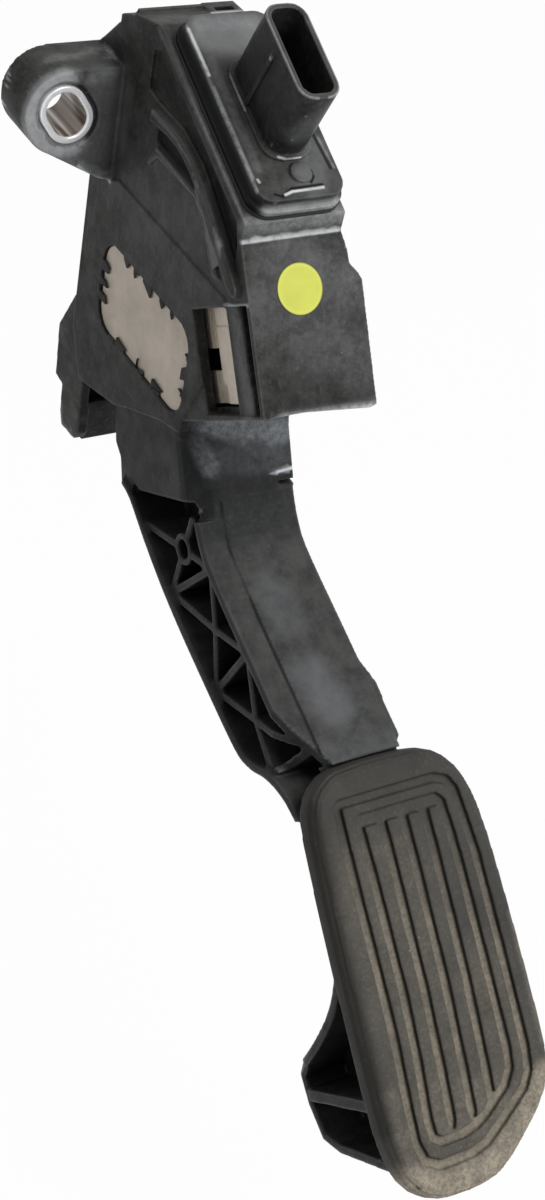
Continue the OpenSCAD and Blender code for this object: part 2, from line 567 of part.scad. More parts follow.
// what the rounding of the neck's front left corner takes away
module neck_corner() {
  line = [[-43.8, -50.3], [-45.6, -57.5], [-50.6, -66.8], [-54.6, -73.8]];
  for (i = [0 : 2]) let (a = [line[i], line[i + 1]], d = unit(a[1] - a[0])) {
    // X, out of the face, along the face
    multmatrix([[1, 0, 0, arm_left], [0, d[1], d[0], a[0][0]], [0, -d[0], d[1], a[0][1]], [0, 0, 0, 1]])
      translate([0, 0, -0.4]) linear_extrude(height = norm(a[1] - a[0]) + 0.8)
        polygon(concat([[-1, 1], [-1, -neck_r]],
          [for (k = [180 : -18 : 90]) neck_r * [1 + cos(k), sin(k) - 1]], [[neck_r, 1]]));
  }
}
module pedal_arm() {
  place() color([0.22, 0.23, 0.24]) difference() {
    union() {
      // front face, rear flange and foot over the full width
      yz(arm_left, arm_right - 0.5) band(curve(front_pts, 3), front_t);
      yz(arm_left - 0.9, arm_right) band([for (q = curve(rear_pts, 3)) if (q[0] > -119) q], -rear_t);
      yz(arm_left + 0.5, arm_right) band([for (q = curve(rear_pts, 3)) if (q[0] < -107) q], -rear_t);
      yz(arm_left + 1, arm_right) band(foot_pts, -rear_t);
      // carrier plate behind the pad
      yz(arm_left + 1, arm_right) band(carrier_pts, front_t);
      yz(arm_right - 1, arm_right + 8) band(carrier_wide, front_t);
      // panel right of the crease, a little proud of the face
      intersection() {
        yz(crease_x, arm_right - 0.5) skin(curve(front_pts, 3), 1, -panel_rise);
        translate([0, -160, -110]) cube([60, 107, 40]);
      }
      // wider shoulder on the right, above the pad
      intersection() {
        yz(arm_right - 3, arm_right + 3) band(curve(front_pts, 3), front_t);
        translate([arm_right, 0, -110]) linear_extrude(height = 20)
          polygon([[-2, -90], [0, -92.5], [1.5, -98], [1.1, -103], [0.8, -111], [-2, -111]]);
      }
      // middle web
      yz(arm_left + arm_width * 0.5 - rib_t / 2, arm_left + arm_width * 0.5 + rib_t / 2) arm_side();
      // lattice, both sides of the web
      yz(arm_left + 0.6, arm_right - 0.6) intersection() {
        arm_ribs();
        arm_side();
      }
      // smooth neck
      yz(arm_left, arm_right) polygon([[-43.8, -50], [-45.6, -57.5], [-50.6, -66.8], [-52.6, -70.4],
        [-45.4, -74.6], [-25.4, -85.8], [-22.1, -87.4], [-17, -89.6], [-14.8, -83.1], [-11.3, -80.6],
        [-9, -71.5], [-8, -58], [-9, -50]]);
      // hub and its root
      x_pin(hub_c, hub_r, hub_left, hub_right);
      yz(hub_left, hub_right) polygon([[-37.9, -21], [-39.5, -30], [-43, -51], [-9, -51], [-12, -40],
        [-14.1, -21]]);
      // lever under the springs
      translate([hub_left, -22, seat_z - gap - 5]) cube([lever_right - hub_left, 21, 5]);
      yz(hub_left, lever_right)
        polygon([[-20, -32], [-1, seat_z - gap - 4], [-20, seat_z - gap - 4]]);
      // sector that carries the magnet
      yz(magnet_x[0] - 0.4, magnet_x[1] + 0.4) intersection() {
        translate(hub_c) difference() {
          circle(r = magnet_r);
          circle(r = hub_r - 1.5);
        }
        translate(hub_c) polygon([[0, 0], [-10, 24], [10, 24]]);
      }
    }
    // the pad's own space
    yz(-5, 60) polygon(pad_space);
    // the left side of the front face runs in towards the pad
    translate([arm_left, 0, -109]) linear_extrude(height = 20)
      polygon([[-4, -96], [0, -98], [2.6, -104], [5.6, -108.7], [8, -113], [8, -117], [-4, -117]]);
    // round front left corner of the neck
    neck_corner();
    // bore of the shaft
    x_pin(hub_c, shaft_r + 0.02, hub_left - 1, hub_right + 1);
    // hollow of the lattice boss
    x_pin(boss_c, boss_r - 1.5, arm_left - 1, arm_left + 11);
    // pocket of the neck, open to the right
    yz(arm_left + 11, arm_right + 1) polygon([[-40.5, -55], [-42.4, -58.6], [-47.6, -68], [-48, -69.4],
      [-43, -72.4], [-21, -84.6], [-17.5, -82], [-14.3, -79], [-12, -71], [-11, -60], [-11.5, -55]]);
    // small cuts at the foot of the neck, left and right
    translate([arm_left - 1, -26.5, -88]) cube([2.6, 3.6, 2.6]);
    yz(arm_right - 4.5, arm_right + 1) rib([-60, -70.4], [-48, -69], 1.1);
  }
}

// outlines on the pad: X, and distance down the face
pad_out = [[0.3, -11], [1.4, -17.2], [5.4, -22], [11, -pad_top], [27, -pad_top], [34.5, -22.8], [40, -18.8],
  [43.4, -12.5], [45.2, -4], [46.3, 10], [47.3, 31], [47.8, 49], [47.2, 57], [43.8, 63.4], [37.6, 69],
  [30.6, 74.6], [25, 76.8], [16.5, 77], [9.4, 76], [4.4, 72], [1.6, 65.4], [0.4, 56], [0, 30], [0, 0]];
// middle lines of the two ring grooves
ring_out = [[7.6, -14.8], [8.4, -15.6], [33.6, -15.6], [36.8, -14.4], [38.4, -11.8], [39.3, -5], [40.3, 4],
  [41.1, 30], [41.4, 50], [40.8, 55.4], [38.6, 58.9], [31.3, 64], [26, 67.4], [21.6, 68.6], [13, 68.6],
  [9.4, 66.6], [8, 62.4], [8, 54], [8.5, 38], [8.3, 24], [7.7, 0]];
ring_in = [[12.2, -10.6], [12.9, -11.2], [33, -11.2], [34.3, -9.8], [34.9, -4], [35.5, 6], [36.2, 32],
  [36.5, 49], [36, 53.4], [33.8, 56.8], [27.4, 61.3], [24, 63], [20.6, 63.7], [14.4, 63.7], [12.6, 62.3],
  [12.2, 58], [13.1, 44], [13.4, 30], [12.8, 4]];
// middle line of the first long groove
long_groove = [[18, -10.4], [18.4, 0], [18.9, 30], [18.5, 50], [18.1, 60]];
bar_step = 5.7;
// corners cut to points a quarter in from each end
function next(p, i) = p[(i + 1) % len(p)];
function last(p, i) = p[(i + len(p) - 1) % len(p)];
function round_pts(p) = [for (i = [0 : len(p) - 1]) for (k = [0.3, 0.7]) p[i] + (next(p, i) - p[i]) * k];
function down(p) = [for (q = p) [q[0], -q[1]]];
function inward(p, t) = [for (i = [0 : len(p) - 1])
  p[i] + left(unit(unit(next(p, i) - p[i]) + unit(p[i] - last(p, i)))) * t];
function beside(m) = [for (q = long_groove) q + [m, 0]];
module ring_groove(p) {
  difference() {
    polygon(down(inward(p, -groove_w / 2)));
    polygon(down(inward(p, groove_w / 2)));
  }
}
module pedal_pad() {
  place() color([0.3, 0.29, 0.27]) pad_frame() difference() {
    union() {
      // the edge rounds over in steps
      for (a = [0, 25, 50, 70]) translate([0, 0, -pad_t])
        linear_extrude(height = pad_t - edge_r * (1 - sin(a + 10)))
          polygon(down(inward(round_pts(pad_out), edge_r * (1 - cos(a)))));
    }
    translate([0, 0, -groove_d]) linear_extrude(height = groove_d + 1) {
      ring_groove(ring_out);
      ring_groove(ring_in);
      // three long grooves between the bars, joined above the bars
      for (k = [0 : 2]) translate([k * bar_step, 0]) polygon(down(concat(beside(-groove_w / 2),
        [long_groove[4] + [0, k > 1 ? 0 : 3]], flipped(beside(groove_w / 2)))));
      translate([13, 9.2]) square([21, 1.6]);
    }
  }
}

module pivot_shaft() {
  place() color([0.75, 0.75, 0.75]) x_pin(hub_c, shaft_r, 1.6, lower_w + 0.9);
}
module bush_left() {
  place() color([0.85, 0.82, 0.7]) difference() {
    x_pin(hub_c, bush_r, 1.6, hub_left - gap);
    x_pin(hub_c, shaft_r + shaft_play, 0, hub_left + 1);
  }
}
module bush_right() {
  place() color([0.85, 0.82, 0.7]) difference() {
    x_pin(hub_c, bush_r, hub_right + gap, lower_w - 1);
    x_pin(hub_c, shaft_r + shaft_play, hub_right - 1, lower_w + 1);
  }
}
module shaft_clip() {
  place() color([0.7, 0.7, 0.7]) difference() {
    x_pin(hub_c, shaft_r + 2.6, lower_w + 0.05, lower_w + 0.85);
    x_pin(hub_c, shaft_r + 0.02, lower_w - 1, lower_w + 2);
  }
}
module sensor_magnet() {
  place() color([0.3, 0.3, 0.32]) yz(magnet_x[0], magnet_x[1]) intersection() {
    translate(hub_c) difference() {
      circle(r = magnet_r + 3);
      circle(r = magnet_r + 0.05);
    }
    translate(hub_c) polygon([[0, 0], [-10, 26], [10, 26]]);
  }
}
// the section is drawn along the turn, so that the wire comes out round
module coil(r, w, turns, h, n) {
  half = 360 * w * turns / h;
  linear_extrude(height = h, twist = -360 * turns, slices = turns * n, $fn = 8)
    polygon([for (t = [0 : 30 : 330]) (r + w * cos(t)) * [cos(half * sin(t)), sin(half * sin(t))]]);
}
module spring_shape(r, w, turns, n) {
  translate([spring_c[0], spring_c[1], spring_z0]) coil(r, w, turns, spring_z1 - spring_z0, n);
}
module return_spring_outer() {
  place() color([0.62, 0.62, 0.64]) spring_shape(spring_r, wire_r, 7, 12);
}
module return_spring_inner() {
  place() color([0.62, 0.62, 0.64]) spring_shape(spring_in_r, wire_in_r, 9, 12);
}
module spring_seat() {
  place() color([0.3, 0.3, 0.3]) translate([spring_c[0], spring_c[1], seat_z]) union() {
    cylinder(r = spring_r + wire_r + 0.2, h = 1.5);
    cylinder(r = spring_in_r - wire_in_r - gap, h = 5);
  }
}
module idle_bumper() {
  place() color([0.1, 0.1, 0.1]) translate([10, -44.8, -38]) cube([13, 2.6, 8]);
}
module stop_bumper() {
  place() color([0.1, 0.1, 0.1]) translate([10, 4.3, -56]) cube([13, 4.2, 8]);
}

housing_body();
side_plate_left();
side_plate_right();
inner_bracket();
sensor_cover();
cover_gasket();
connector_pins();
circuit_board();
hall_sensors();
upper_sleeve();
lower_sleeve();
marker_dot();
pedal_arm();
pedal_pad();
pivot_shaft();
bush_left();
bush_right();
shaft_clip();
sensor_magnet();
return_spring_outer();
return_spring_inner();
spring_seat();
idle_bumper();
stop_bumper();
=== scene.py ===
"""Accelerator pedal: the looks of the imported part, its stage and its camera."""

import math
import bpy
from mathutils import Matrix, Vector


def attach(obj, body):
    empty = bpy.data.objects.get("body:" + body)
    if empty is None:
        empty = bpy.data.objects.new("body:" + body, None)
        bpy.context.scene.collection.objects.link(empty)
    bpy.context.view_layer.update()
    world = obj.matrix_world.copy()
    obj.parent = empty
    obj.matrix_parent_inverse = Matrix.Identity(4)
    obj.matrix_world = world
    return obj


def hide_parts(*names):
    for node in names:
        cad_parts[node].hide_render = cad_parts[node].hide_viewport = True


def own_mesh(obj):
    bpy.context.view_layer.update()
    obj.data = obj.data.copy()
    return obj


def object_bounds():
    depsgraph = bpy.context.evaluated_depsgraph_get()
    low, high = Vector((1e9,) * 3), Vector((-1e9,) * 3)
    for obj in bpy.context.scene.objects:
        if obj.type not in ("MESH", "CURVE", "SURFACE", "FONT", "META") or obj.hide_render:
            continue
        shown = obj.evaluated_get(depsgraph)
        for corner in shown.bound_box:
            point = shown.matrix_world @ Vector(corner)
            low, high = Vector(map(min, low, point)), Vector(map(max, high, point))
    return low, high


bl_info = {
    "name": "Accelerator Pedal",
    "version": (1, 0, 0),
    "blender": (4, 5, 0),
    "location": "View3D > Sidebar > Pedal",
    "description": "Dresses the packed accelerator pedal and sets its stage",
    "category": "Object",
}

import bmesh
import bpy
import numpy as np
from mathutils import Matrix, Vector

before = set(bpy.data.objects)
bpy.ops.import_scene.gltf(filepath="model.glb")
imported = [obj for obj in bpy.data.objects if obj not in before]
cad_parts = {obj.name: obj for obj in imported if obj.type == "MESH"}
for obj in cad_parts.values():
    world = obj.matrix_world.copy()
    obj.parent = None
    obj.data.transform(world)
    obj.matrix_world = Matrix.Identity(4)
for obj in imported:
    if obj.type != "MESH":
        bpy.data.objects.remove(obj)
CAD_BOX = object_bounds()

# Frames of the object, all in millimetres
# the housing's own frame: X from its left side, Y into the bulkhead, Z up
HOUSE = Matrix.Scale(0.001, 4) @ Matrix.Translation((-37.5, -15, 71.5))
# the front block: X, back into the block, up its face
BLOCK = HOUSE @ Matrix.Translation((0, -57.7, 2.9)) @ Matrix.Rotation(math.radians(-33), 4, "X")
# the cover: X, up the slope, out of the slope
COVER = HOUSE @ Matrix.Translation((0, -35.15, 18.8)) @ Matrix.Rotation(math.radians(26.4), 4, "X")
# the pad: X, up the pad, out of the pad
PAD = HOUSE @ Matrix.Translation((0, -134.1, -115)) @ Matrix.Rotation(math.radians(45), 4, "X")

# most triangles that one dressed piece may have
MOST_TRIANGLES = 180000


class Shells:
    """Closed shells in one mesh, given in millimetres in any of the frames above."""

    def __init__(self):
        self.mesh = bmesh.new()

    def loft(self, rings, place, hollow=False):
        """Skin through rings of equally many points, closed at both ends or run round to the first."""
        rows = [[self.mesh.verts.new(place @ Vector(p)) for p in ring] for ring in rings]
        count = len(rows[0])
        for low, high in zip(rows, rows[1:] + (rows[:1] if hollow else [])):
            for i in range(count):
                j = (i + 1) % count
                self.mesh.faces.new((low[i], low[j], high[j], high[i]))
        if not hollow:
            self.mesh.faces.new(rows[0][::-1])
            self.mesh.faces.new(rows[-1])

    def side_prism(self, outline, low, high, place=HOUSE):
        """An outline of Y and Z run along X."""
        self.loft([[(x, y, z) for y, z in outline] for x in (low, high)], place)

    def done(self, name):
        """The finished object."""
        bmesh.ops.recalc_face_normals(self.mesh, faces=self.mesh.faces)
        data = bpy.data.meshes.new(name)
        self.mesh.to_mesh(data)
        self.mesh.free()
        return linked(name, data)


def linked(name, data):
    """A new object in the scene."""
    piece = bpy.data.objects.new(name, data)
    bpy.context.scene.collection.objects.link(piece)
    return piece


def copy_of(node, name):
    """A copy of a CAD node's mesh, to be dressed."""
    return linked(name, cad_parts[node].data.copy())


def settled(piece):
    """The piece with its modifiers made real."""
    view = bpy.context.evaluated_depsgraph_get()
    data = bpy.data.meshes.new_from_object(piece.evaluated_get(view))
    piece.modifiers.clear()
    piece.data = data
    return piece


def joined(piece, other):
    """The other object's shells go into the piece."""
    mesh = bmesh.new()
    mesh.from_mesh(piece.data)
    mesh.from_mesh(other.data)
    mesh.to_mesh(piece.data)
    mesh.free()
    bpy.data.objects.remove(other)


def moulded(piece, voxel, passes):
    """Small fillets on all edges, as a mould leaves them."""
    skin = piece.modifiers.new("Skin", "REMESH")
    skin.mode = "VOXEL"
    skin.voxel_size = voxel * 1 / 1000
    soft = piece.modifiers.new("Soft", "SMOOTH")
    soft.factor = 0.5
    soft.iterations = passes
    settled(piece)
    count = sum(len(face.vertices) - 2 for face in piece.data.polygons)
    if count > MOST_TRIANGLES:
        thin = piece.modifiers.new("Thin", "DECIMATE")
        thin.ratio = MOST_TRIANGLES / count
        settled(piece)
    smooth(piece)
    return piece


def brushed(piece, name, strokes, place=HOUSE):
    """Marks the skin near lines of points: each stroke has its points, its reach and its share."""
    skin = piece.data
    spots = np.empty(len(skin.vertices) * 3)
    skin.vertices.foreach_get("co", spots)
    away = np.array(place.inverted())
    spots = spots.reshape(-1, 3) @ away[:3, :3].T + away[:3, 3]
    marks = skin.attributes.get(name)
    value = np.zeros(len(spots))
    if marks:
        marks.data.foreach_get("value", value)
    else:
        marks = skin.attributes.new(name, "FLOAT", "POINT")
    for points, reach, share in strokes:
        line = np.array(points, float)
        for start, end in zip(line, line[1:] if len(line) > 1 else line):
            run = end - start
            along = np.clip((spots - start) @ run / max(run @ run, 1e-9), 0, 1)
            gap = np.linalg.norm(spots - start - along[:, None] * run, axis=1)
            near = np.clip(1.5 * (1 - gap / reach), 0, 1)
            value = np.maximum(value, share * near * near * (3 - 2 * near))
    marks.data.foreach_set("value", value)


def marked(piece, worn, soft, dark, bright, place=HOUSE):
    """The four kinds of marks that the black plastic reads."""
    for name, strokes in (("worn", worn), ("soft", soft), ("dark", dark), ("bright", bright)):
        brushed(piece, name, strokes, place)


def smooth(piece):
    """Smooth shading that keeps flat faces flat."""
    piece.data.polygons.foreach_set("use_smooth", [True] * len(piece.data.polygons))
    even = piece.modifiers.new("Even", "WEIGHTED_NORMAL")
    even.keep_sharp = True


def arc(x, y, radius, start, end, steps):
    """Points along an arc, in degrees."""
    turn = [math.radians(start + (end - start) * i / steps) for i in range(steps + 1)]
    return [(x + radius * math.cos(a), y + radius * math.sin(a)) for a in turn]


def rounded(x, y, width, height, radius, steps=6):
    """Outline of a rounded rectangle from its low corner."""
    right, top = x + width - radius, y + height - radius
    left, base = x + radius, y + radius
    return (arc(right, base, radius, -90, 0, steps) + arc(right, top, radius, 0, 90, steps)
            + arc(left, top, radius, 90, 180, steps) + arc(left, base, radius, 180, 270, steps))


class Finish:
    """A material under construction."""

    def __init__(self, name, roughness=0.5, metallic=0.0, specular=0.5):
        self.material = bpy.data.materials.new(name)
        self.material.use_nodes = True
        self.tree = self.material.node_tree
        self.shader = self.tree.nodes["Principled BSDF"]
        self.shader.inputs["Roughness"].default_value = roughness
        self.shader.inputs["Metallic"].default_value = metallic
        self.shader.inputs["Specular IOR Level"].default_value = specular
        self.place = self.tree.nodes.new("ShaderNodeTexCoord").outputs["Object"]

    def node(self, kind, inputs=(), **values):
        """A node with some inputs linked or set, in order or by name."""
        made = self.tree.nodes.new("ShaderNode" + kind)
        for key, value in values.items():
            setattr(made, key, value)
        for key, value in (inputs.items() if isinstance(inputs, dict) else enumerate(inputs)):
            if value is None:
                continue
            if isinstance(value, bpy.types.NodeSocket):
                self.tree.links.new(value, made.inputs[key])
            else:
                made.inputs[key].default_value = value
        return made

    def grain(self, size, detail=3.0, roughness=0.55, stretch=(1, 1, 1), turn=(0, 0, 0)):
        """Noise from 0 to 1 with features of that size in millimetres."""
        space = self.node("Mapping", {"Vector": self.place, "Scale": stretch,
                                      "Rotation": [math.radians(a) for a in turn]})
        made = self.node("TexNoise", {"Vector": space.outputs[0], "Scale": 1000 / size,
                                      "Detail": detail, "Roughness": roughness})
        return made.outputs["Fac"]

    def span(self, value, low, high, start=0.0, end=1.0):
        """The value stretched from low..high to start..end."""
        return self.node("MapRange", {"Value": value, "From Min": low, "From Max": high,
                                      "To Min": start, "To Max": end}).outputs[0]

    def maths(self, operation, a, b=None):
        """One sum on two values."""
        return self.node("Math", (a, b), operation=operation, use_clamp=True).outputs[0]

    def mix(self, share, a, b):
        """Colour b laid over colour a by the share."""
        made = self.node("Mix", {0: share, 6: a, 7: b}, data_type="RGBA")
        return made.outputs[2]

    def mark(self, name):
        """A value that the mesh carries."""
        return self.node("Attribute", attribute_name=name).outputs["Fac"]

    def edges(self):
        """High on outer edges, low in hollows."""
        return self.node("NewGeometry").outputs["Pointiness"]

    def colour(self, value):
        """Sets the base colour."""
        self.tree.links.new(value, self.shader.inputs["Base Color"])

    def rough(self, value):
        """Sets the roughness."""
        self.tree.links.new(value, self.shader.inputs["Roughness"])

    def relief(self, height, distance, strength=1.0):
        """Sets a fine relief, its distance in millimetres."""
        made = self.node("Bump", {"Strength": strength, "Distance": distance / 1000, "Height": height})
        self.tree.links.new(made.outputs[0], self.shader.inputs["Normal"])

    def on(self, *pieces):
        """Puts the material on pieces."""
        for piece in pieces:
            piece.data.materials.clear()
            piece.data.materials.append(self.material)
            for place in piece.material_slots:
                place.material = self.material


def rgb(colour):
    """A colour with its alpha."""
    return (*colour[:3], 1.0)


def shade(colour, share):
    """The colour made lighter or darker."""
    return (*[channel * share for channel in colour[:3]], 1.0)


def black_plastic(name, colour, dust, wear_and_highlight_colour, roughness, grain_size, wear):
    """Moulded plastic with a fine grain, rubbed patches, scratches, dust, worn marks, painted highlights, and
    painted shade in hollows and at marked places.
    """
    made = Finish(name, roughness, specular=0.1)
    patches = made.grain(22, 5, 0.6)
    blotches = made.grain(4.5, 5, 0.65)
    grain = made.grain(grain_size, 2)
    speck = made.grain(1.1, 4, 0.7)
    base = made.mix(made.span(patches, 0.3, 0.75), shade(colour, 1 - wear), shade(colour, 1 + wear))
    base = made.mix(made.span(blotches, 0.4, 0.68, 0, wear), base, rgb(dust))
    base = made.mix(made.span(speck, 0.52, 0.75, 0, wear + 0.1), base, rgb(dust))
    base = made.mix(made.span(made.grain(1.4, 2), 0.78, 0.8, 0, wear), base, shade(dust, 4))
    for turn, stretch in (((0, 0, 28), (1, 0.04, 0.3)), ((50, 0, -35), (0.3, 1, 0.03))):
        lines = made.grain(1.6, 2, 0.5, stretch, turn)
        base = made.mix(made.span(lines, 0.66, 0.74, 0, wear * 0.7), base, rgb(dust))
    # dust lies on what faces up, rubbing on outer edges
    facing = made.node("SeparateXYZ", (made.node("NewGeometry").outputs["Normal"],)).outputs["Z"]
    fallen = made.maths("MULTIPLY", made.span(facing, 0.7, 0.9, 0, 0.45),
                        made.span(blotches, 0.3, 0.6, 0.4, 1))
    base = made.mix(fallen, base, rgb(dust))
    rubbed = made.maths("MULTIPLY", made.span(made.edges(), 0.51, 0.6, 0, 0.8),
                        made.span(patches, 0.32, 0.6, 0.3, 1))
    base = made.mix(rubbed, base, shade(dust, 2))
    # soft marks, painted shade marks, worn marks and bright marks of painted highlight and pale chips; the
    # worn ones are broken up into small patches
    broken = made.maths("MULTIPLY", made.span(made.grain(1.5, 6, 0.75), 0.32, 0.62, 0.2, 1),
                        made.span(made.grain(7, 3), 0.3, 0.6, 0.55, 1))
    # soft marks: pale patches, which on the arm are painted sheen and a painted highlight
    base = made.mix(made.mark("soft"), base, rgb(wear_and_highlight_colour))
    # painted shade: the marked places go nearly black where shade falls in recesses, channels and grooves
    base = made.mix(made.mark("dark"), base, shade(colour, 0.15))
    # painted shade: the colour darkens in hollows by ambient occlusion
    hollow = made.node("AmbientOcclusion", {"Distance": 0.005}, samples=6, only_local=True).outputs["AO"]
    base = made.mix(made.span(hollow, 0.3, 0.8, 0.85, 0), base, shade(colour, 0.2))
    base = made.mix(made.maths("MULTIPLY", made.mark("worn"), broken), base, rgb(wear_and_highlight_colour))
    # painted highlights: the bright marks take the pale colour made 1.5 times lighter, along edges and on a
    # few chips
    line = made.maths("MULTIPLY", made.mark("bright"), made.span(made.grain(3, 3), 0.3, 0.5, 0.5, 1))
    base = made.mix(line, base, shade(wear_and_highlight_colour, 1.5))
    made.colour(base)
    made.rough(made.span(made.grain(6, 4), 0.3, 0.7, roughness - 0.08, roughness + 0.12))
    made.relief(made.maths("ADD", grain, made.maths("MULTIPLY", speck, 0.5)), 0.12, 0.5)
    return made


def rubber(name, colour, dirt):
    """Worn rubber with dirt on the floors of its grooves."""
    made = Finish(name, 0.62, specular=0.12)
    cloud = made.grain(14, 5, 0.65)
    speck = made.grain(0.9, 4, 0.7)
    base = made.mix(made.span(cloud, 0.3, 0.72), shade(colour, 0.75), shade(colour, 1.3))
    base = made.mix(made.span(speck, 0.55, 0.8, 0, 0.3), base, rgb(dirt))
    base = made.mix(made.span(made.grain(1.3, 2), 0.77, 0.8, 0, 0.8), base, shade(dirt, 2.5))
    fine = made.span(made.grain(0.9, 4, 0.75), 0.35, 0.6, 0.45, 1)
    groove = made.maths("MULTIPLY", made.mark("groove"), made.span(made.grain(7, 4), 0.3, 0.6, 0.5, 1))
    groove = made.maths("MULTIPLY", groove, fine)
    base = made.mix(groove, base, rgb(dirt))
    dusty = made.maths("MULTIPLY", made.mark("worn"), made.span(made.grain(5, 5, 0.7), 0.3, 0.6, 0.4, 1))
    base = made.mix(made.maths("MULTIPLY", dusty, fine), base, shade(dirt, 2.1))
    # painted shade on the left and top borders, and painted shadow on the left-facing walls of the grooves
    for name in ("dark", "shadow"):
        base = made.mix(made.mark(name), base, shade(colour, 0.25))
    made.colour(base)
    made.rough(made.span(cloud, 0.3, 0.7, 0.5, 0.72))
    made.relief(made.maths("ADD", speck, made.grain(0.5, 2)), 0.15, 0.5)
    return made


def steel(name, colour, roughness, stain, stretch=(1, 1, 1), metallic=0.75):
    """Plain steel with faint stains and rubbing."""
    made = Finish(name, roughness, metallic=metallic)
    cloud = made.grain(9, 5, 0.6)
    lines = made.grain(0.8, 3, 0.6, stretch)
    base = made.mix(made.span(cloud, 0.35, 0.7), rgb(colour), shade(colour, 0.78))
    base = made.mix(made.span(made.grain(2.2, 5, 0.75), 0.56, 0.72, 0, stain), base, shade(colour, 0.4))
    made.colour(base)
    made.rough(made.span(lines, 0.3, 0.7, roughness - 0.08, roughness + 0.12))
    made.relief(lines, 0.05, 0.4)
    return made


def smooth_plastic(name, colour, roughness=0.35):
    """Clean inner plastic."""
    made = Finish(name, roughness)
    cloud = made.grain(8, 3)
    made.colour(made.mix(made.span(cloud, 0.3, 0.7), shade(colour, 0.85), shade(colour, 1.1)))
    made.relief(made.grain(0.8, 2), 0.05, 0.3)
    return made


class PedalSizes(bpy.types.PropertyGroup):
    """Sizes that a user would change."""

    housing_cell: bpy.props.FloatProperty(
        name="Housing cell", description="Size of the skin cells of the housing, in millimetres",
        default=0.36, min=0.2, max=1.0)
    arm_cell: bpy.props.FloatProperty(
        name="Arm cell", description="Size of the skin cells of the arm, in millimetres",
        default=0.45, min=0.2, max=1.0)
    pad_cell: bpy.props.FloatProperty(
        name="Pad cell", description="Size of the skin cells of the pad, in millimetres",
        default=0.35, min=0.2, max=1.0)
    cover_cell: bpy.props.FloatProperty(
        name="Cover cell", description="Size of the skin cells of the cover, in millimetres",
        default=0.28, min=0.2, max=1.0)
    lens: bpy.props.FloatProperty(
        name="Lens", description="Focal length of the camera, in millimetres", default=59.55, unit="CAMERA")
    floor_drop: bpy.props.FloatProperty(
        name="Floor drop", description="How far the floor lies under the pedal", default=0.09, unit="LENGTH")


class PedalColours(bpy.types.PropertyGroup):
    """Colours that a user would change."""

    housing: bpy.props.FloatVectorProperty(
        name="Housing", description="Black plastic of the housing", subtype="COLOR",
        default=(0.015, 0.015, 0.014), min=0, max=1)
    cover: bpy.props.FloatVectorProperty(
        name="Cover", description="Black plastic of the sensor cover", subtype="COLOR",
        default=(0.015, 0.016, 0.016), min=0, max=1)
    arm: bpy.props.FloatVectorProperty(
        name="Arm", description="Black plastic of the arm", subtype="COLOR",
        default=(0.0135, 0.0145, 0.0152), min=0, max=1)
    rubber: bpy.props.FloatVectorProperty(
        name="Rubber", description="Rubber of the pad", subtype="COLOR",
        default=(0.047, 0.045, 0.041), min=0, max=1)
    dirt: bpy.props.FloatVectorProperty(
        name="Dirt", description="Dry dirt in the grooves of the pad", subtype="COLOR",
        default=(0.2, 0.175, 0.135), min=0, max=1)
    dust: bpy.props.FloatVectorProperty(
        name="Dust", description="Dust and rubbing on the black plastic", subtype="COLOR",
        default=(0.105, 0.104, 0.1), min=0, max=1)
    # pale colour of the worn and soft marks, also made lighter for the painted highlights of the housing and
    # the cover
    worn: bpy.props.FloatVectorProperty(
        name="Worn", description="Plastic rubbed pale", subtype="COLOR",
        default=(0.44, 0.45, 0.46), min=0, max=1)
    # bluish pale colour of the arm's worn marks and of its painted sheen patches, also made lighter for its
    # painted highlights
    rubbed: bpy.props.FloatVectorProperty(
        name="Rubbed", description="Bluish rubbed patches of the arm", subtype="COLOR",
        default=(0.43, 0.46, 0.49), min=0, max=1)
    plate: bpy.props.FloatVectorProperty(
        name="Plate", description="Bare steel of the plates", subtype="COLOR",
        default=(0.63, 0.555, 0.465), min=0, max=1)
    sleeve: bpy.props.FloatVectorProperty(
        name="Sleeve", description="Bright steel of the sleeves and the shaft", subtype="COLOR",
        default=(0.94, 0.95, 0.96), min=0, max=1)
    sticker: bpy.props.FloatVectorProperty(
        name="Sticker", description="Round sticker on the front", subtype="COLOR",
        default=(0.5, 0.52, 0.045), min=0, max=1)


class PedalPiece:
    """What the operators share."""

    bl_options = {"REGISTER", "UNDO"}


# slotted hole of the upper ear: X and Z, degrees, and half the distance of its two centres
SLOT_CENTRE = (-13, 3.5)
SLOT_ANGLE = 56
SLOT_HALF = 1.6


def slot_outline(radius):
    """Outline of the slotted hole in the upper ear, X and Z."""
    run = math.radians(-SLOT_ANGLE)
    ends = []
    for way in (1, -1):
        x = SLOT_CENTRE[0] + way * SLOT_HALF * math.cos(run)
        z = SLOT_CENTRE[1] + way * SLOT_HALF * math.sin(run)
        start = -SLOT_ANGLE - 90 * way
        ends += arc(x, z, radius, start, start + 180, 20)
    return ends


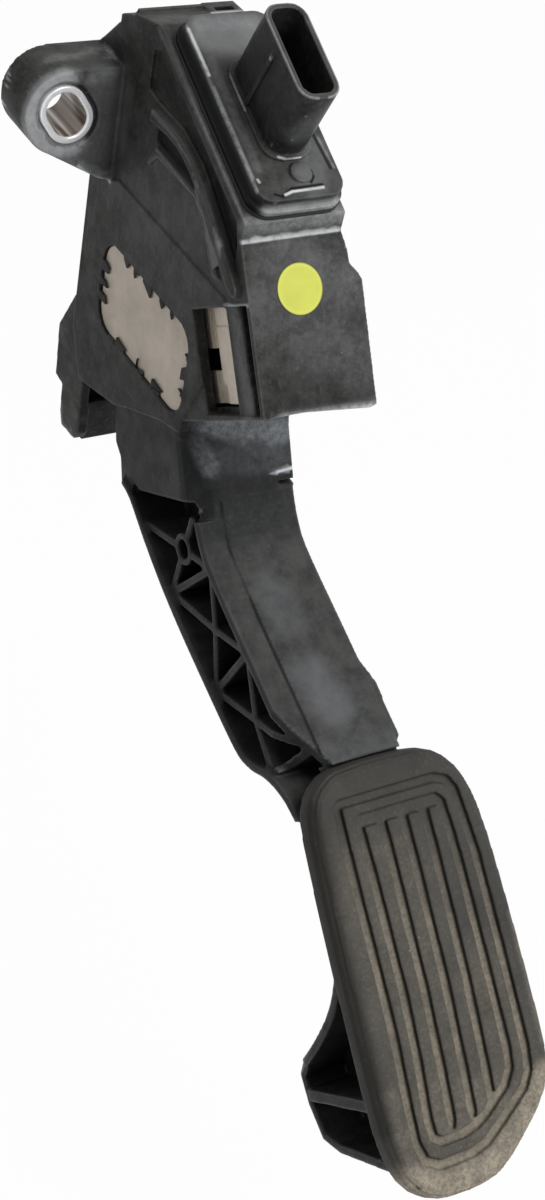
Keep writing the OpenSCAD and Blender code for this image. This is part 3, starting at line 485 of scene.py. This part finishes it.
# small hooked teeth over the rim of the left plate, Y and Z, and how far they run along X
HOOK_SPAN = (-0.38, 0.27)
HOOKS = (
    [(-9.9, -27.6), (-10.1, -28.4), (-11.9, -30), (-13, -28.1), (-13.4, -27.6)],
    [(-15.2, -27.6), (-15.4, -29.2), (-16, -30.3), (-16.8, -28.5), (-17, -27.6)],
    [(-20, -27.6), (-20.2, -28.6), (-24.2, -30.7), (-24.6, -28.5), (-24.8, -27.6)],
    [(-28.6, -27.6), (-28.8, -28.7), (-30, -30), (-30.8, -28.5), (-31, -27.6)],
    [(-34, -27.6), (-34.2, -28.8), (-35, -29.8), (-35.3, -28.4), (-35.4, -27.6)],
    [(-44.9, -33.4), (-43, -33.8), (-44.9, -34.6)],
    [(-44.9, -36.2), (-44.4, -36.5), (-42.6, -37.8), (-42.5, -41), (-44.1, -40.2), (-44.9, -40.2)],
    [(-44.9, -43.2), (-42.3, -43.6), (-44.1, -44.2), (-44.9, -44.4)],
    [(-10.6, -52), (-11.2, -49.4), (-16.2, -50.2), (-12.7, -51.7)],
    [(-21.8, -52), (-22.2, -48.4), (-22, -50.9), (-25.9, -51.2), (-26, -52)],
    [(-29.8, -52), (-30.2, -48.9), (-35.4, -49.4), (-30.5, -50.8), (-31, -52)],
    [(0.2, -34.2), (-2.3, -34.4), (-3.6, -35.1), (-3.1, -36.7), (0.2, -37)],
    [(0.2, -39), (-2.4, -39.2), (-3.7, -40.3), (0.2, -41)],
    [(0.2, -42.8), (-3.1, -43), (-3.9, -44.7), (0.2, -45)],
)
# broad end where the two side ribs meet, in the same way
RIB_END_SPAN = (-1.15, 0.5)
RIB_END = [(-39.4, 5), (-46, 2.7), (-52, -1.8), (-52.5, -5), (-50.2, -7.8), (-43.6, 0.6)]
# marks of the housing, each with its points, its reach and its share
HOUSING_WORN = (
    # ear face round its sleeve and along its lower edge
    ([(x, 1, z) for x, z in arc(-13, 3.9, 8.2, 95, 290, 8)], 4, 0.8),
    ([(-13, 1, -6), (-6, 1, -12), (-2, 1, -13.6)], 2.5, 0.5),
    ([(-5.5, 1, -13), (-0.5, 1, -14.2)], 1.0, 1.0),
    ([(-8, 1, 12), (-3, 1, 12.5)], 2.5, 0.3),
    # outer side of the ear
    ([(-22.6, 13, 6.5), (-21.5, 14.5, 9)], 0.8, 1.0),
    ([(-23, 14, 1)], 1.0, 1.0),
    ([(-16, 8, 14), (-9, 8, 14), (2, 12, 14.4)], 1.5, 0.35),
    ([(-21, 2, -3.6), (-16, 4, -9)], 1.6, 0.5),
    # worn patch and the edges of the ribs
    ([(-0.8, -48.5, 0.9), (-0.8, -51.8, -1.1)], 0.9, 0.9),
    ([(-1.2, -15.8, 11.9), (-1.2, -27.1, 11.3), (-1.2, -33.9, 9.8), (-1.2, -40.1, 5.4)], 0.7, 0.35),
    ([(-1.2, -15.6, 2), (-1.2, -18.7, 4.6), (-1.2, -30, 3.8), (-1.2, -38.6, 2.8), (-1.2, -43.2, 1.1)],
     0.7, 0.35),
    # rim of the ledge beside the cover
    ([(0.2, -12, 29.4), (0.2, -58, 7.4)], 0.7, 0.3),
    # top loop and the worn edge of the wall behind it
    ([(16.5, -5.4, 28.7), (24.7, -5.4, 28.7)], 0.7, 0.9),
    ([(0, -0.6, 27.6), (2, 5.5, 24.8)], 0.8, 0.6),
    ([(-1, 6, 14.2), (3, 15, 13.9)], 1.4, 0.9),
    # lower end of the tongue
    ([(0, 14, -87), (0, 12.6, -91), (0, 5, -90.5)], 1.2, 0.7),
)
HOUSING_SOFT = (
    # the upper wall is paler than the lower one
    ([(0, -22, -8), (0, -38, -14)], 26, 0.055),
    ([(0, 2, 4), (0, 0, -8)], 14, 0.03),
    ([(-1, -44, 1), (-1, -54, -7)], 4, 0.06),
    # ring round the sleeve
    ([(x, 1, z) for x, z in arc(-13, 3.9, 8.4, 100, 280, 8)], 3.6, 0.6),
    # ribs of the side
    ([(-0.5, -16, 11.9), (-0.5, -27, 11.3), (-0.5, -34, 9.8), (-0.5, -46, 2.8)], 1.6, 0.06),
    ([(-0.5, -15.6, 2), (-0.5, -27, 2.8), (-0.5, -39, 2.6), (-0.5, -50, -7)], 1.6, 0.06),
    # rest of the ear's face
    ([(-6, 1, -12), (-4, 1, 10), (-3, 1, -3)], 8, 0.14),
)
HOUSING_BRIGHT = (
    # painted highlights along the edge of the ledge, the edge under the ear, the rib end and the top loop,
    # and pale chips on the ear
    ([(0.9, -14, 28.2), (0.9, -57, 7.2)], 0.4, 0.3),
    ([(-9, 1, -9.4), (-5.5, 1, -12.6), (-0.5, 1, -14.4)], 0.6, 0.7),
    ([(-1.1, -51, -0.7), (-1.1, -53, -3.4)], 0.7, 0.3),
    ([(16.5, -5.6, 28.7), (24.7, -5.6, 28.7)], 0.5, 0.8),
    ([(-22.9, 12.5, 6), (-22.4, 13.8, 8.5)], 0.6, 0.7),
    ([(-23.2, 14, 1.5)], 0.9, 0.8),
)
# lower and upper edge of the block, the strip over it, its face and the bar of the corner window
BLOCK_WORN = (
    ([(4, 0.6, -37.8), (31, 0.6, -38.6)], 1.8, 0.7),
    ([(0.3, 0, 0.3), (24, 0, 0.3)], 0.9, 0.9),
    ([(1, -2, 3), (24, -2, 3)], 3.2, 0.4),
    ([(10, 0, -4), (24, 0, -12)], 9, 0.12),
    ([(4, 0, -14), (30, 0, -32)], 9, 0.1),
    ([(1.4, 8, -16), (1.4, 7, -36)], 3.5, 0.25),
)
BLOCK_SOFT = (
    ([(1, -2, 3), (24, -2, 3)], 3.4, 0.09),
    ([(10, 0, -6), (26, 0, -20)], 14, 0.025),
    ([(1.2, 9, -15), (1.2, 8, -36)], 3.6, 0.11),
    ([(5, 0.7, -37.6), (31, 0.7, -38.4)], 2.4, 0.13),
    ([(20, 0, -20), (12, 0, -28)], 8, 0.03),
    ([(2.3, 26, -16), (2.3, 25.4, -35)], 0.9, 0.05),
)
BLOCK_BRIGHT = (
    # painted highlights along the lower and upper edge of the block
    ([(4, 0.4, -37.7), (31, 0.4, -38.7)], 0.9, 0.4),
    ([(0.3, -0.1, 0.1), (24, -0.1, 0.1)], 0.55, 0.5),
    # painted highlights on the lips of the corner window, and the pale worn end of its bar
    ([(0, 10.5, -12.4), (0, 6.6, -13), (0, 0.6, -13)], 0.6, 0.6),
    ([(0.9, 11.5, -37), (0.9, 5.6, -37)], 0.6, 0.6),
    ([(2.3, 22, -13), (2.3, 12.5, -13)], 0.4, 0.6),
)
# painted shade on the low part of the face, and on the wedge beside the bar
BLOCK_PAINTED_SHADE = (
    ([(6, 0, -33), (30, 0, -34)], 7, 0.35),
    ([(1, 5.4, -13.6), (1, 5.4, -20)], 2.4, 1.0),
    ([(1, 5.2, -18), (1, 5.2, -30)], 1.2, 1.0),
)
HOUSING_PAINTED_SHADE = (
    # painted shade in the recess between the ribs and in the valley beside the cover
    ([(0.9, -19, 7.2), (0.9, -36, 6.6)], 3.4, 0.95),
    ([(1.2, -15, 19), (1.2, -32, 14.5), (1.2, -44, 8.5)], 3.2, 0.5),
    ([(1.2, -44, 8.5), (1.2, -54, 0.8), (1.2, -57, -3)], 3.6, 1.0),
    ([(0.5, 3, 18), (0.5, 1, 22)], 5, 0.35),
    # painted shade on the lower wall and in the groove round the sleeve
    ([(0, -8, -62), (0, -40, -54)], 12, 0.45),
    ([(0, 8, -45), (0, 6, -68)], 10, 0.3),
    ([(x, 1.2, z) for x, z in slot_outline(6.3)], 0.95, 1.0),
    # painted shade along the rim of the plate and on the hooks over it
    ([(-0.1, y, z) for y, z in rounded(-44.4, -51.4, 44, 23.4, 6, 3)], 0.55, 0.9),
    *(([(-0.3, y, z) for y, z in hook], 0.5, 0.95) for hook in HOOKS),
)


class PEDAL_OT_housing(PedalPiece, bpy.types.Operator):
    """Moulded housing with its ears, ribs and windows"""

    bl_idname = "pedal.housing"
    bl_label = "Housing"

    def execute(self, context):
        sizes, colours = context.scene.pedal_sizes, context.scene.pedal_colours
        piece = copy_of("housing_body", "housing")
        moulded(piece, sizes.housing_cell, 2)
        crisp = Shells()
        for hook in HOOKS:
            crisp.side_prism(hook, *HOOK_SPAN)
        crisp.side_prism(RIB_END, *RIB_END_SPAN)
        joined(piece, crisp.done("hooks"))
        marked(piece, HOUSING_WORN, HOUSING_SOFT, HOUSING_PAINTED_SHADE, HOUSING_BRIGHT)
        marked(piece, BLOCK_WORN, BLOCK_SOFT, BLOCK_PAINTED_SHADE, BLOCK_BRIGHT, BLOCK)
        black_plastic("housing plastic", colours.housing, colours.dust, colours.worn,
                      roughness=0.5, grain_size=0.8, wear=0.35).on(piece)
        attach(piece, "housing")
        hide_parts("housing_body")
        return {"FINISHED"}


# marks of the cover, in its own frame
COVER_WORN = (
    ([(2.4, 21, 5.3), (2.4, -21, 5.3)], 0.8, 0.6),
    ([(5, -24.8, 2.2), (22, -24.8, 2.2)], 1.8, 0.6),
    ([(5, 12, 5.3), (5, -16, 5.3)], 1.5, 0.15),
    ([(6, 21, 5.3), (20, 21, 5.3)], 3, 0.2),
)
COVER_SOFT = (
    ([(8, 18, 5.3), (17, 17, 5.3)], 8, 0.3),
    ([(20, -12, 5.3), (16, -21, 5.3)], 5, 0.14),
    ([(14.2, -18.3, 6)], 2.6, 0.14),
    ([(13, -14, 14), (16, -12, 18)], 6, 0.09),
    ([(5, -24.6, 2.4), (22, -24.6, 2.4)], 2.4, 0.28),
)
# outline of the shroud's mouth, X and Y, and its height
SHROUD_RIM = rounded(8.35, -13.9, 9.9, 23.8, 3.6, 4)
SHROUD_TOP = 24.9
# painted highlights along the left edge of the raised plate, on short edges and along the rim of the shroud's
# mouth
COVER_BRIGHT = (
    ([(2.8, 20, 5.3), (3, 8, 5.3)], 0.55, 0.8),
    ([(3, 5, 5.3), (3, -18, 5.3)], 0.4, 0.2),
    ([(8.7, -22.9, 5.3), (10.5, -22.4, 5.3), (18.2, -22.2, 5.3)], 0.45, 0.9),
    ([(3.8, -18.6, 5.3), (4, -19.2, 5.3)], 0.45, 0.6),
    ([(10.2, -14.2, 6), (12.1, -15, 6), (15.5, -15, 6)], 0.4, 0.7),
    ([(7.2, 8.6, 6), (7.2, -2, 6)], 0.4, 0.4),
    ([(22, -10, 5.3), (22.7, -17.8, 5.3)], 0.3, 0.2),
    ([(x, y, SHROUD_TOP) for x, y in SHROUD_RIM], 0.5, 0.3),
    ([(7.4, -0.8, 21.5)], 0.7, 0.6),
)
COVER_PAINTED_SHADE = (
    # painted shade along the side of the raised plate, then on short lines, a crescent and a rail
    ([(1.5, 25, 2.4), (1.5, -22, 2.4)], 3.4, 1.0),
    ([(6.3, -22.5, 5.3), (7.9, -23.3, 5.3), (10.8, -21.6, 5.3), (18.2, -21.5, 5.3)], 0.5, 1.0),
    ([(15.2, -16.3, 5.3), (16.9, -17.8, 5.3), (16.9, -19.4, 5.3), (15.8, -20.7, 5.3)], 0.5, 1.0),
    ([(21.2, -9.3, 5.3), (21.8, -17.8, 5.3)], 0.6, 0.9),
    ([(3, -25.4, 1), (23, -25.4, 1)], 0.6, 0.8),
    # painted shade on the left side of the shroud
    ([(8, 8, 14), (8, -6, 14)], 11, 0.4),
)


class PEDAL_OT_cover(PedalPiece, bpy.types.Operator):
    """Sensor cover with its connector shroud, the seal and the pins"""

    bl_idname = "pedal.cover"
    bl_label = "Sensor cover"

    def execute(self, context):
        sizes, colours = context.scene.pedal_sizes, context.scene.pedal_colours
        piece = copy_of("sensor_cover", "cover")
        moulded(piece, sizes.cover_cell, 2)
        marked(piece, COVER_WORN, COVER_SOFT, COVER_PAINTED_SHADE, COVER_BRIGHT, COVER)
        black_plastic("cover plastic", colours.cover, colours.dust, colours.worn,
                      roughness=0.42, grain_size=0.9, wear=0.3).on(piece)
        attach(piece, "housing")
        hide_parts("sensor_cover")
        smooth_plastic("seal rubber", (0.012, 0.012, 0.012), 0.6).on(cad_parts["cover_gasket"])
        steel("plated pins", (0.7, 0.66, 0.58), 0.25, 0.1).on(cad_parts["connector_pins"])
        return {"FINISHED"}


# marks of the arm
ARM_WORN = (
    # scratched front of the neck and its lower edge
    ([(5, -44.4, -52.5), (14, -45, -55), (27, -46.5, -58)], 5, 0.42),
    ([(5, -46, -58), (8, -49, -63)], 4, 0.3),
    ([(12, -48, -62), (26, -49, -64)], 5, 0.12),
    # edges of the foot
    ([(4, -142, -147), (4, -138.4, -180.6), (4, -144.2, -185.4), (4, -152.4, -188.8)], 0.8, 0.6),
)
# painted highlights at the ends of the two cuts, along a hairline beside the crease and on the step under the
# neck
ARM_BRIGHT = (
    ([(2.6, -50.8, -67.2), (5, -51.6, -68.4)], 0.9, 0.8),
    ([(24.1, -50.6, -66.9), (29.6, -50.4, -66.7)], 0.6, 0.9),
    ([(10.35, -75, -86.5), (10.35, -117, -102.6)], 0.3, 0.16),
    ([(11, -55.2, -75), (21, -55.2, -75)], 0.3, 0.2),
)
# two bluish patches of painted sheen on the front, pale marks on the neck, and a painted highlight on the end
# towards the pad
ARM_SOFT = (
    ([(15.5, -71, -84.7), (16, -79, -88)], 6.5, 0.075),
    ([(16, -93, -93.5), (18, -101, -96.6)], 7.5, 0.13),
    ([(12, -45, -54), (26, -46.5, -59)], 6, 0.04),
    ([(12, -112, -101), (28, -112, -101)], 6, 0.05),
    ([(5, -45, -53), (5, -48, -62)], 3, 0.06),
)
ARM_PAINTED_SHADE = (
    # painted shade along the crease of the front
    ([(9.6, -52, -70), (9.6, -60, -79.6), (9.6, -78, -87.5), (9.6, -117, -102.4)], 0.45, 0.9),
    # painted shade lines along the seam and the steps of the neck
    ([(8.9, -44.4, -52), (8.9, -45.8, -58)], 0.35, 0.9),
    ([(4.3, -51.9, -69.4), (9.1, -51.9, -69.4)], 0.35, 0.8),
    ([(10.7, -54.9, -74.4), (21.3, -54.9, -74.4)], 0.35, 0.8),
    # painted shade on the left side of the neck and on the lower part of its front
    ([(4, -36, -58), (4, -24, -66), (4, -30, -80)], 20, 0.6),
    ([(2, -45, -78), (2, -75, -100), (2, -112, -130)], 13, 0.35),
    ([(4, -80, -92), (4, -104, -100)], 6, 0.2),
    ([(5, -52, -69.5), (28, -51.5, -69)], 3.6, 0.4),
)
# depth of the pad's grooves, and the field that they fill: left, right, low, high
GROOVE_DEPTH = 1.2
GROOVED_FIELD = (5.6, 43.6, -72, 18.5)
# marks of the pad: pale dust on its lower part and right edge, painted shade on its left and top
PAD_DUSTY = (
    ([(5, -73, -1), (12, -76, -1), (25, -76.5, -1), (37, -70, -1), (45, -62, -1)], 10, 0.85),
    ([(14, -5, 0), (16, -40, 0), (20, -60, 0)], 20, 0.12),
    ([(16, -56, 0), (28, -60, 0)], 12, 0.22),
    ([(34, -30, 0), (36, -56, 0)], 12, 0.12),
    ([(46, -50, -1.5), (45.5, -20, -1.5)], 2.2, 0.25),
    ([(4, -50, 0), (6, -66, 0)], 3.5, 0.2),
)
PAD_PAINTED_SHADE = (
    ([(1, 15, -2), (0.5, -10, -2), (0.8, -56, -2)], 4.5, 0.6),
    ([(14, 22, 0), (28, 22, 0)], 7, 0.25),
)


class PEDAL_OT_arm(PedalPiece, bpy.types.Operator):
    """Pedal arm with its smooth neck and open lattice"""

    bl_idname = "pedal.arm"
    bl_label = "Arm"

    def execute(self, context):
        sizes, colours = context.scene.pedal_sizes, context.scene.pedal_colours
        piece = copy_of("pedal_arm", "arm")
        moulded(piece, sizes.arm_cell, 2)
        marked(piece, ARM_WORN, ARM_SOFT, ARM_PAINTED_SHADE, ARM_BRIGHT)
        black_plastic("arm plastic", colours.arm, colours.dust, colours.rubbed,
                      roughness=0.45, grain_size=0.9, wear=0.13).on(piece)
        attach(piece, "pedal")
        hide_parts("pedal_arm")
        return {"FINISHED"}


class PEDAL_OT_pad(PedalPiece, bpy.types.Operator):
    """Grooved rubber pad"""

    bl_idname = "pedal.pad"
    bl_label = "Pad"

    def execute(self, context):
        sizes, colours = context.scene.pedal_sizes, context.scene.pedal_colours
        piece = copy_of("pedal_pad", "pad")
        moulded(piece, sizes.pad_cell, 4)
        to_pad = PAD.inverted()
        turn = to_pad.to_3x3().normalized()
        left, right, low, high = GROOVED_FIELD
        dirt, shadow = [], []
        for corner, normal in zip(piece.data.vertices, piece.data.vertex_normals):
            place, facing = to_pad @ corner.co, turn @ normal.vector
            inner = (left < place.x < right and low < place.y < high
                     and -GROOVE_DEPTH - 0.25 < place.z < -0.25)
            floor = min(max((-place.z - 0.35) / (GROOVE_DEPTH - 0.75), 0), 1)
            dirt.append(floor * max(facing.z, 0) * min(max(0.35 - place.y / 30, 0), 1) if inner else 0)
            shadow.append(min(max(-facing.x * 1.4 - 0.3, 0), 1) if inner else 0)
        for name, values in (("groove", dirt), ("shadow", shadow)):
            piece.data.attributes.new(name, "FLOAT", "POINT").data.foreach_set("value", values)
        brushed(piece, "worn", PAD_DUSTY, PAD)
        brushed(piece, "dark", PAD_PAINTED_SHADE, PAD)
        rubber("pad rubber", colours.rubber, colours.dirt).on(piece)
        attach(piece, "pedal")
        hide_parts("pedal_pad")
        return {"FINISHED"}


# section of the upper sleeve: radius and depth along Y, the bore from its eighth point on
BORE_START = 7
SLEEVE_SECTION = ((5.75, 15.2), (5.75, 1.45), (5.66, 1.2), (5.45, 1.1), (4.7, 1.1), (4.4, 1.2), (4.2, 1.45),
                  (4.15, 1.8), (4.15, 15), (4.3, 15.2))


def rounded_sleeve():
    """The upper sleeve with rounded lips."""
    made = Shells()
    made.loft([[(x, y, z) for x, z in slot_outline(radius)] for radius, y in SLEEVE_SECTION], HOUSE, True)
    piece = made.done("sleeve")
    inner = [float(part >= BORE_START) for part in range(len(SLEEVE_SECTION)) for _ in slot_outline(1)]
    piece.data.attributes.new("bore", "FLOAT", "POINT").data.foreach_set("value", inner)
    smooth(piece)
    return piece


def lit_bore(colour):
    """Bright steel, with dim brown and grey streaks along the inside of the bore."""
    made = Finish("sleeve steel", 0.3, metallic=0.25, specular=0.8)
    streak = made.grain(2.2, 2, 0.5, (1, 0.03, 1))
    tint = made.mix(made.span(streak, 0.4, 0.5), (0.09, 0.04, 0.035, 1), (0.28, 0.23, 0.18, 1))
    tint = made.mix(made.span(streak, 0.54, 0.6), tint, (0.7, 0.68, 0.62, 1))
    lip = made.mix(made.span(made.grain(1.8, 4, 0.7), 0.55, 0.75, 0, 0.35), rgb(colour), shade(colour, 0.5))
    made.colour(made.mix(made.mark("bore"), lip, tint))
    made.relief(made.grain(0.7, 3), 0.05, 0.3)
    return made


class PEDAL_OT_metal(PedalPiece, bpy.types.Operator):
    """Steel plates, bracket, sleeves, shaft and springs"""

    bl_idname = "pedal.metal"
    bl_label = "Metal pieces"

    def execute(self, context):
        colours = context.scene.pedal_colours
        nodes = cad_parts
        steel("plate steel", colours.plate, 0.6, 0.25, metallic=0.2).on(
            nodes["side_plate_left"], nodes["side_plate_right"])
        steel("bracket steel", colours.plate, 0.45, 0.5, metallic=0.4).on(nodes["inner_bracket"])
        bright = steel("bright steel", colours.sleeve, 0.25, 0.1, (0.1, 1, 0.1), 0.5)
        bright.on(nodes["lower_sleeve"], nodes["pivot_shaft"])
        sleeve = rounded_sleeve()
        lit_bore(colours.sleeve).on(sleeve)
        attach(sleeve, "housing")
        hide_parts("upper_sleeve")
        coils = []
        for name in ("return_spring_outer", "return_spring_inner"):
            coil = copy_of(name, name.replace("return_spring", "coil"))
            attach(coil, "housing")
            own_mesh(coil)
            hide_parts(name)
            coils.append(coil)
        steel("spring steel", (0.4, 0.4, 0.42), 0.3, 0.1).on(nodes["shaft_clip"], *coils)
        return {"FINISHED"}


# the sticker: middle in the block's frame, and radii in metres of its pale ring and of its cut edge
STICKER_MIDDLE = (12.7, -0.15, -11.1)
PALE_RING = (0.0046, 0.0052)
CUT_EDGE = (0.0052, 0.0055)


class PEDAL_OT_sticker(PedalPiece, bpy.types.Operator):
    """Round plain sticker"""

    bl_idname = "pedal.sticker"
    bl_label = "Sticker"

    def execute(self, context):
        colour = context.scene.pedal_colours.sticker
        made = Finish("sticker film", 0.35)
        cloud = made.grain(5, 4)
        tint = made.mix(made.span(cloud, 0.3, 0.7), shade(colour, 0.93), shade(colour, 1.05))
        tint = made.mix(made.span(made.grain(0.7, 3, 0.7), 0.6, 0.8, 0, 0.25), tint, shade(colour, 0.6))
        middle = BLOCK @ Vector(STICKER_MIDDLE)
        out = made.node("VectorMath", (made.place, tuple(middle)), operation="DISTANCE").outputs["Value"]
        tint = made.mix(made.span(out, *PALE_RING, 0, 0.35), tint, shade(colour, 1.3))
        made.colour(made.mix(made.span(out, *CUT_EDGE, 0, 0.8), tint, shade(colour, 0.5)))
        made.relief(made.grain(2.5, 3), 0.05, 0.3)
        made.on(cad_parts["marker_dot"])
        return {"FINISHED"}


class PEDAL_OT_mechanism(PedalPiece, bpy.types.Operator):
    """Inner pieces: board, chips, magnet, bushes, seat and bumpers"""

    bl_idname = "pedal.mechanism"
    bl_label = "Inner pieces"

    def execute(self, context):
        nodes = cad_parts
        smooth_plastic("board resin", (0.01, 0.1, 0.035), 0.3).on(nodes["circuit_board"])
        smooth_plastic("chip resin", (0.012, 0.012, 0.012), 0.4).on(nodes["hall_sensors"])
        smooth_plastic("magnet ferrite", (0.05, 0.05, 0.055), 0.5).on(nodes["sensor_magnet"])
        smooth_plastic("bearing plastic", (0.7, 0.64, 0.48), 0.3).on(
            nodes["bush_left"], nodes["bush_right"], nodes["spring_seat"])
        smooth_plastic("bumper rubber", (0.015, 0.015, 0.015), 0.7).on(
            nodes["idle_bumper"], nodes["stop_bumper"])
        return {"FINISHED"}


class PEDAL_OT_stage(PedalPiece, bpy.types.Operator):
    """Pale floor, soft light and the camera"""

    bl_idname = "pedal.stage"
    bl_label = "Stage"

    def execute(self, context):
        sizes = context.scene.pedal_sizes
        camera_and_view(context.scene, sizes.lens)
        world_light(context.scene)
        floor = flat_floor(CAD_BOX[0][2] - sizes.floor_drop)
        for spot, size, power in LAMPS:
            lamp(spot, size, power)
        return {"FINISHED"}


# place in metres, width in metres, power in watts
LAMPS = (
    ((0.15, -0.55, 0.95), 0.6, 6.6),
    ((0.75, -0.55, 0.45), 0.5, 2.6),
    ((0.2, -1.0, 0.45), 0.5, 3.2),
    ((-0.85, -0.2, 0.35), 0.6, 0.5),
)
# strength of the white room as the object's light, and share of glow in the floor
ROOM_LIGHT = 0.19
FLOOR_GLOW = 0.97
# place in metres, angles in degrees
CAMERA_PLACE = Vector((-0.2375, -0.3807, 0.2780))
CAMERA_AZIMUTH = 36.35
CAMERA_ELEVATION = 38.85
CAMERA_ROLL = 11.65


def camera_and_view(scene, lens):
    """The camera where the photograph was taken from."""
    a, e, r = (math.radians(v) for v in (CAMERA_AZIMUTH, CAMERA_ELEVATION, CAMERA_ROLL))
    ahead = Vector((math.sin(a) * math.cos(e), math.cos(a) * math.cos(e), -math.sin(e)))
    level = Vector((math.cos(a), -math.sin(a), 0))
    over = level.cross(ahead)
    right = level * math.cos(r) + over * math.sin(r)
    up = over * math.cos(r) - level * math.sin(r)
    data = bpy.data.cameras.new("camera")
    data.lens = lens
    data.clip_start = 0.01
    camera = linked("camera", data)
    camera.matrix_world = Matrix.Translation(CAMERA_PLACE) @ Matrix((right, up, -ahead)).transposed().to_4x4()
    scene.camera = camera
    scene.view_settings.view_transform = "Standard"


def seen_directly(tree):
    """1 for what the camera sees, in person or in glass and gloss."""
    path = tree.nodes.new("ShaderNodeLightPath")
    total = path.outputs["Is Camera Ray"]
    for name in ("Is Glossy Ray", "Is Transmission Ray"):
        step = tree.nodes.new("ShaderNodeMath")
        step.operation = "MAXIMUM"
        tree.links.new(total, step.inputs[0])
        tree.links.new(path.outputs[name], step.inputs[1])
        total = step.outputs[0]
    return total


def world_light(scene):
    """White to the eye, plain light to the object."""
    world = bpy.data.worlds.new("room")
    world.use_nodes = True
    tree = world.node_tree
    back = tree.nodes["Background"]
    back.inputs["Color"].default_value = (1, 1, 1, 1)
    level = tree.nodes.new("ShaderNodeMapRange")
    level.inputs["To Min"].default_value = ROOM_LIGHT
    level.inputs["To Max"].default_value = 1.0
    tree.links.new(seen_directly(tree), level.inputs["Value"])
    tree.links.new(level.outputs[0], back.inputs["Strength"])
    scene.world = world


def flat_floor(height):
    """A wide pale floor that keeps the soft shadow."""
    reach = 6.0
    data = bpy.data.meshes.new("floor")
    corners = [(x * reach, y * reach, height) for x, y in ((-1, -1), (1, -1), (1, 1), (-1, 1))]
    data.from_pydata(corners, [], [(0, 1, 2, 3)])
    floor = linked("floor", data)
    material = bpy.data.materials.new("floor white")
    material.use_nodes = True
    tree = material.node_tree
    shader = tree.nodes["Principled BSDF"]
    shader.inputs["Base Color"].default_value = (0.85, 0.85, 0.85, 1)
    shader.inputs["Roughness"].default_value = 0.9
    glow = tree.nodes.new("ShaderNodeEmission")
    glow.inputs["Color"].default_value = (1, 1, 1, 1)
    share = tree.nodes.new("ShaderNodeMath")
    share.operation = "MULTIPLY"
    share.inputs[1].default_value = FLOOR_GLOW
    blend = tree.nodes.new("ShaderNodeMixShader")
    tree.links.new(seen_directly(tree), share.inputs[0])
    tree.links.new(share.outputs[0], blend.inputs[0])
    tree.links.new(shader.outputs[0], blend.inputs[1])
    tree.links.new(glow.outputs[0], blend.inputs[2])
    tree.links.new(blend.outputs[0], tree.nodes["Material Output"].inputs["Surface"])
    data.materials.append(material)
    return floor


def lamp(spot, size, power):
    """A soft square lamp that looks at the middle of the pedal."""
    data = bpy.data.lights.new("lamp", "AREA")
    data.size = size
    data.energy = power
    made = linked("lamp", data)
    made.location = spot
    middle = (Vector(CAD_BOX[0]) + Vector(CAD_BOX[1])) / 2
    made.rotation_euler = (middle - Vector(spot)).to_track_quat("-Z", "Y").to_euler()


class VIEW3D_PT_pedal(bpy.types.Panel):
    """Sidebar panel of the pedal"""

    bl_label = "Pedal"
    bl_space_type = "VIEW_3D"
    bl_region_type = "UI"
    bl_category = "Pedal"

    def draw(self, context):
        for group in (context.scene.pedal_sizes, context.scene.pedal_colours):
            for name in type(group).__annotations__:
                self.layout.prop(group, name)
        for step in STEPS:
            self.layout.operator(step.bl_idname)


STEPS = (PEDAL_OT_stage, PEDAL_OT_housing, PEDAL_OT_cover, PEDAL_OT_arm, PEDAL_OT_pad,
         PEDAL_OT_metal, PEDAL_OT_sticker, PEDAL_OT_mechanism)
CLASSES = (PedalSizes, PedalColours, *STEPS, VIEW3D_PT_pedal)


def register():
    """Adds the classes and the settings to Blender."""
    for made in CLASSES:
        bpy.utils.register_class(made)
    bpy.types.Scene.pedal_sizes = bpy.props.PointerProperty(type=PedalSizes)
    bpy.types.Scene.pedal_colours = bpy.props.PointerProperty(type=PedalColours)


def unregister():
    """Takes them out again."""
    del bpy.types.Scene.pedal_colours
    del bpy.types.Scene.pedal_sizes
    for made in reversed(CLASSES):
        bpy.utils.unregister_class(made)


def main():
    """Builds everything in order."""
    register()
    for step in STEPS:
        group, name = step.bl_idname.split(".")
        getattr(getattr(bpy.ops, group), name)()


if __name__ == "__main__":
    main()
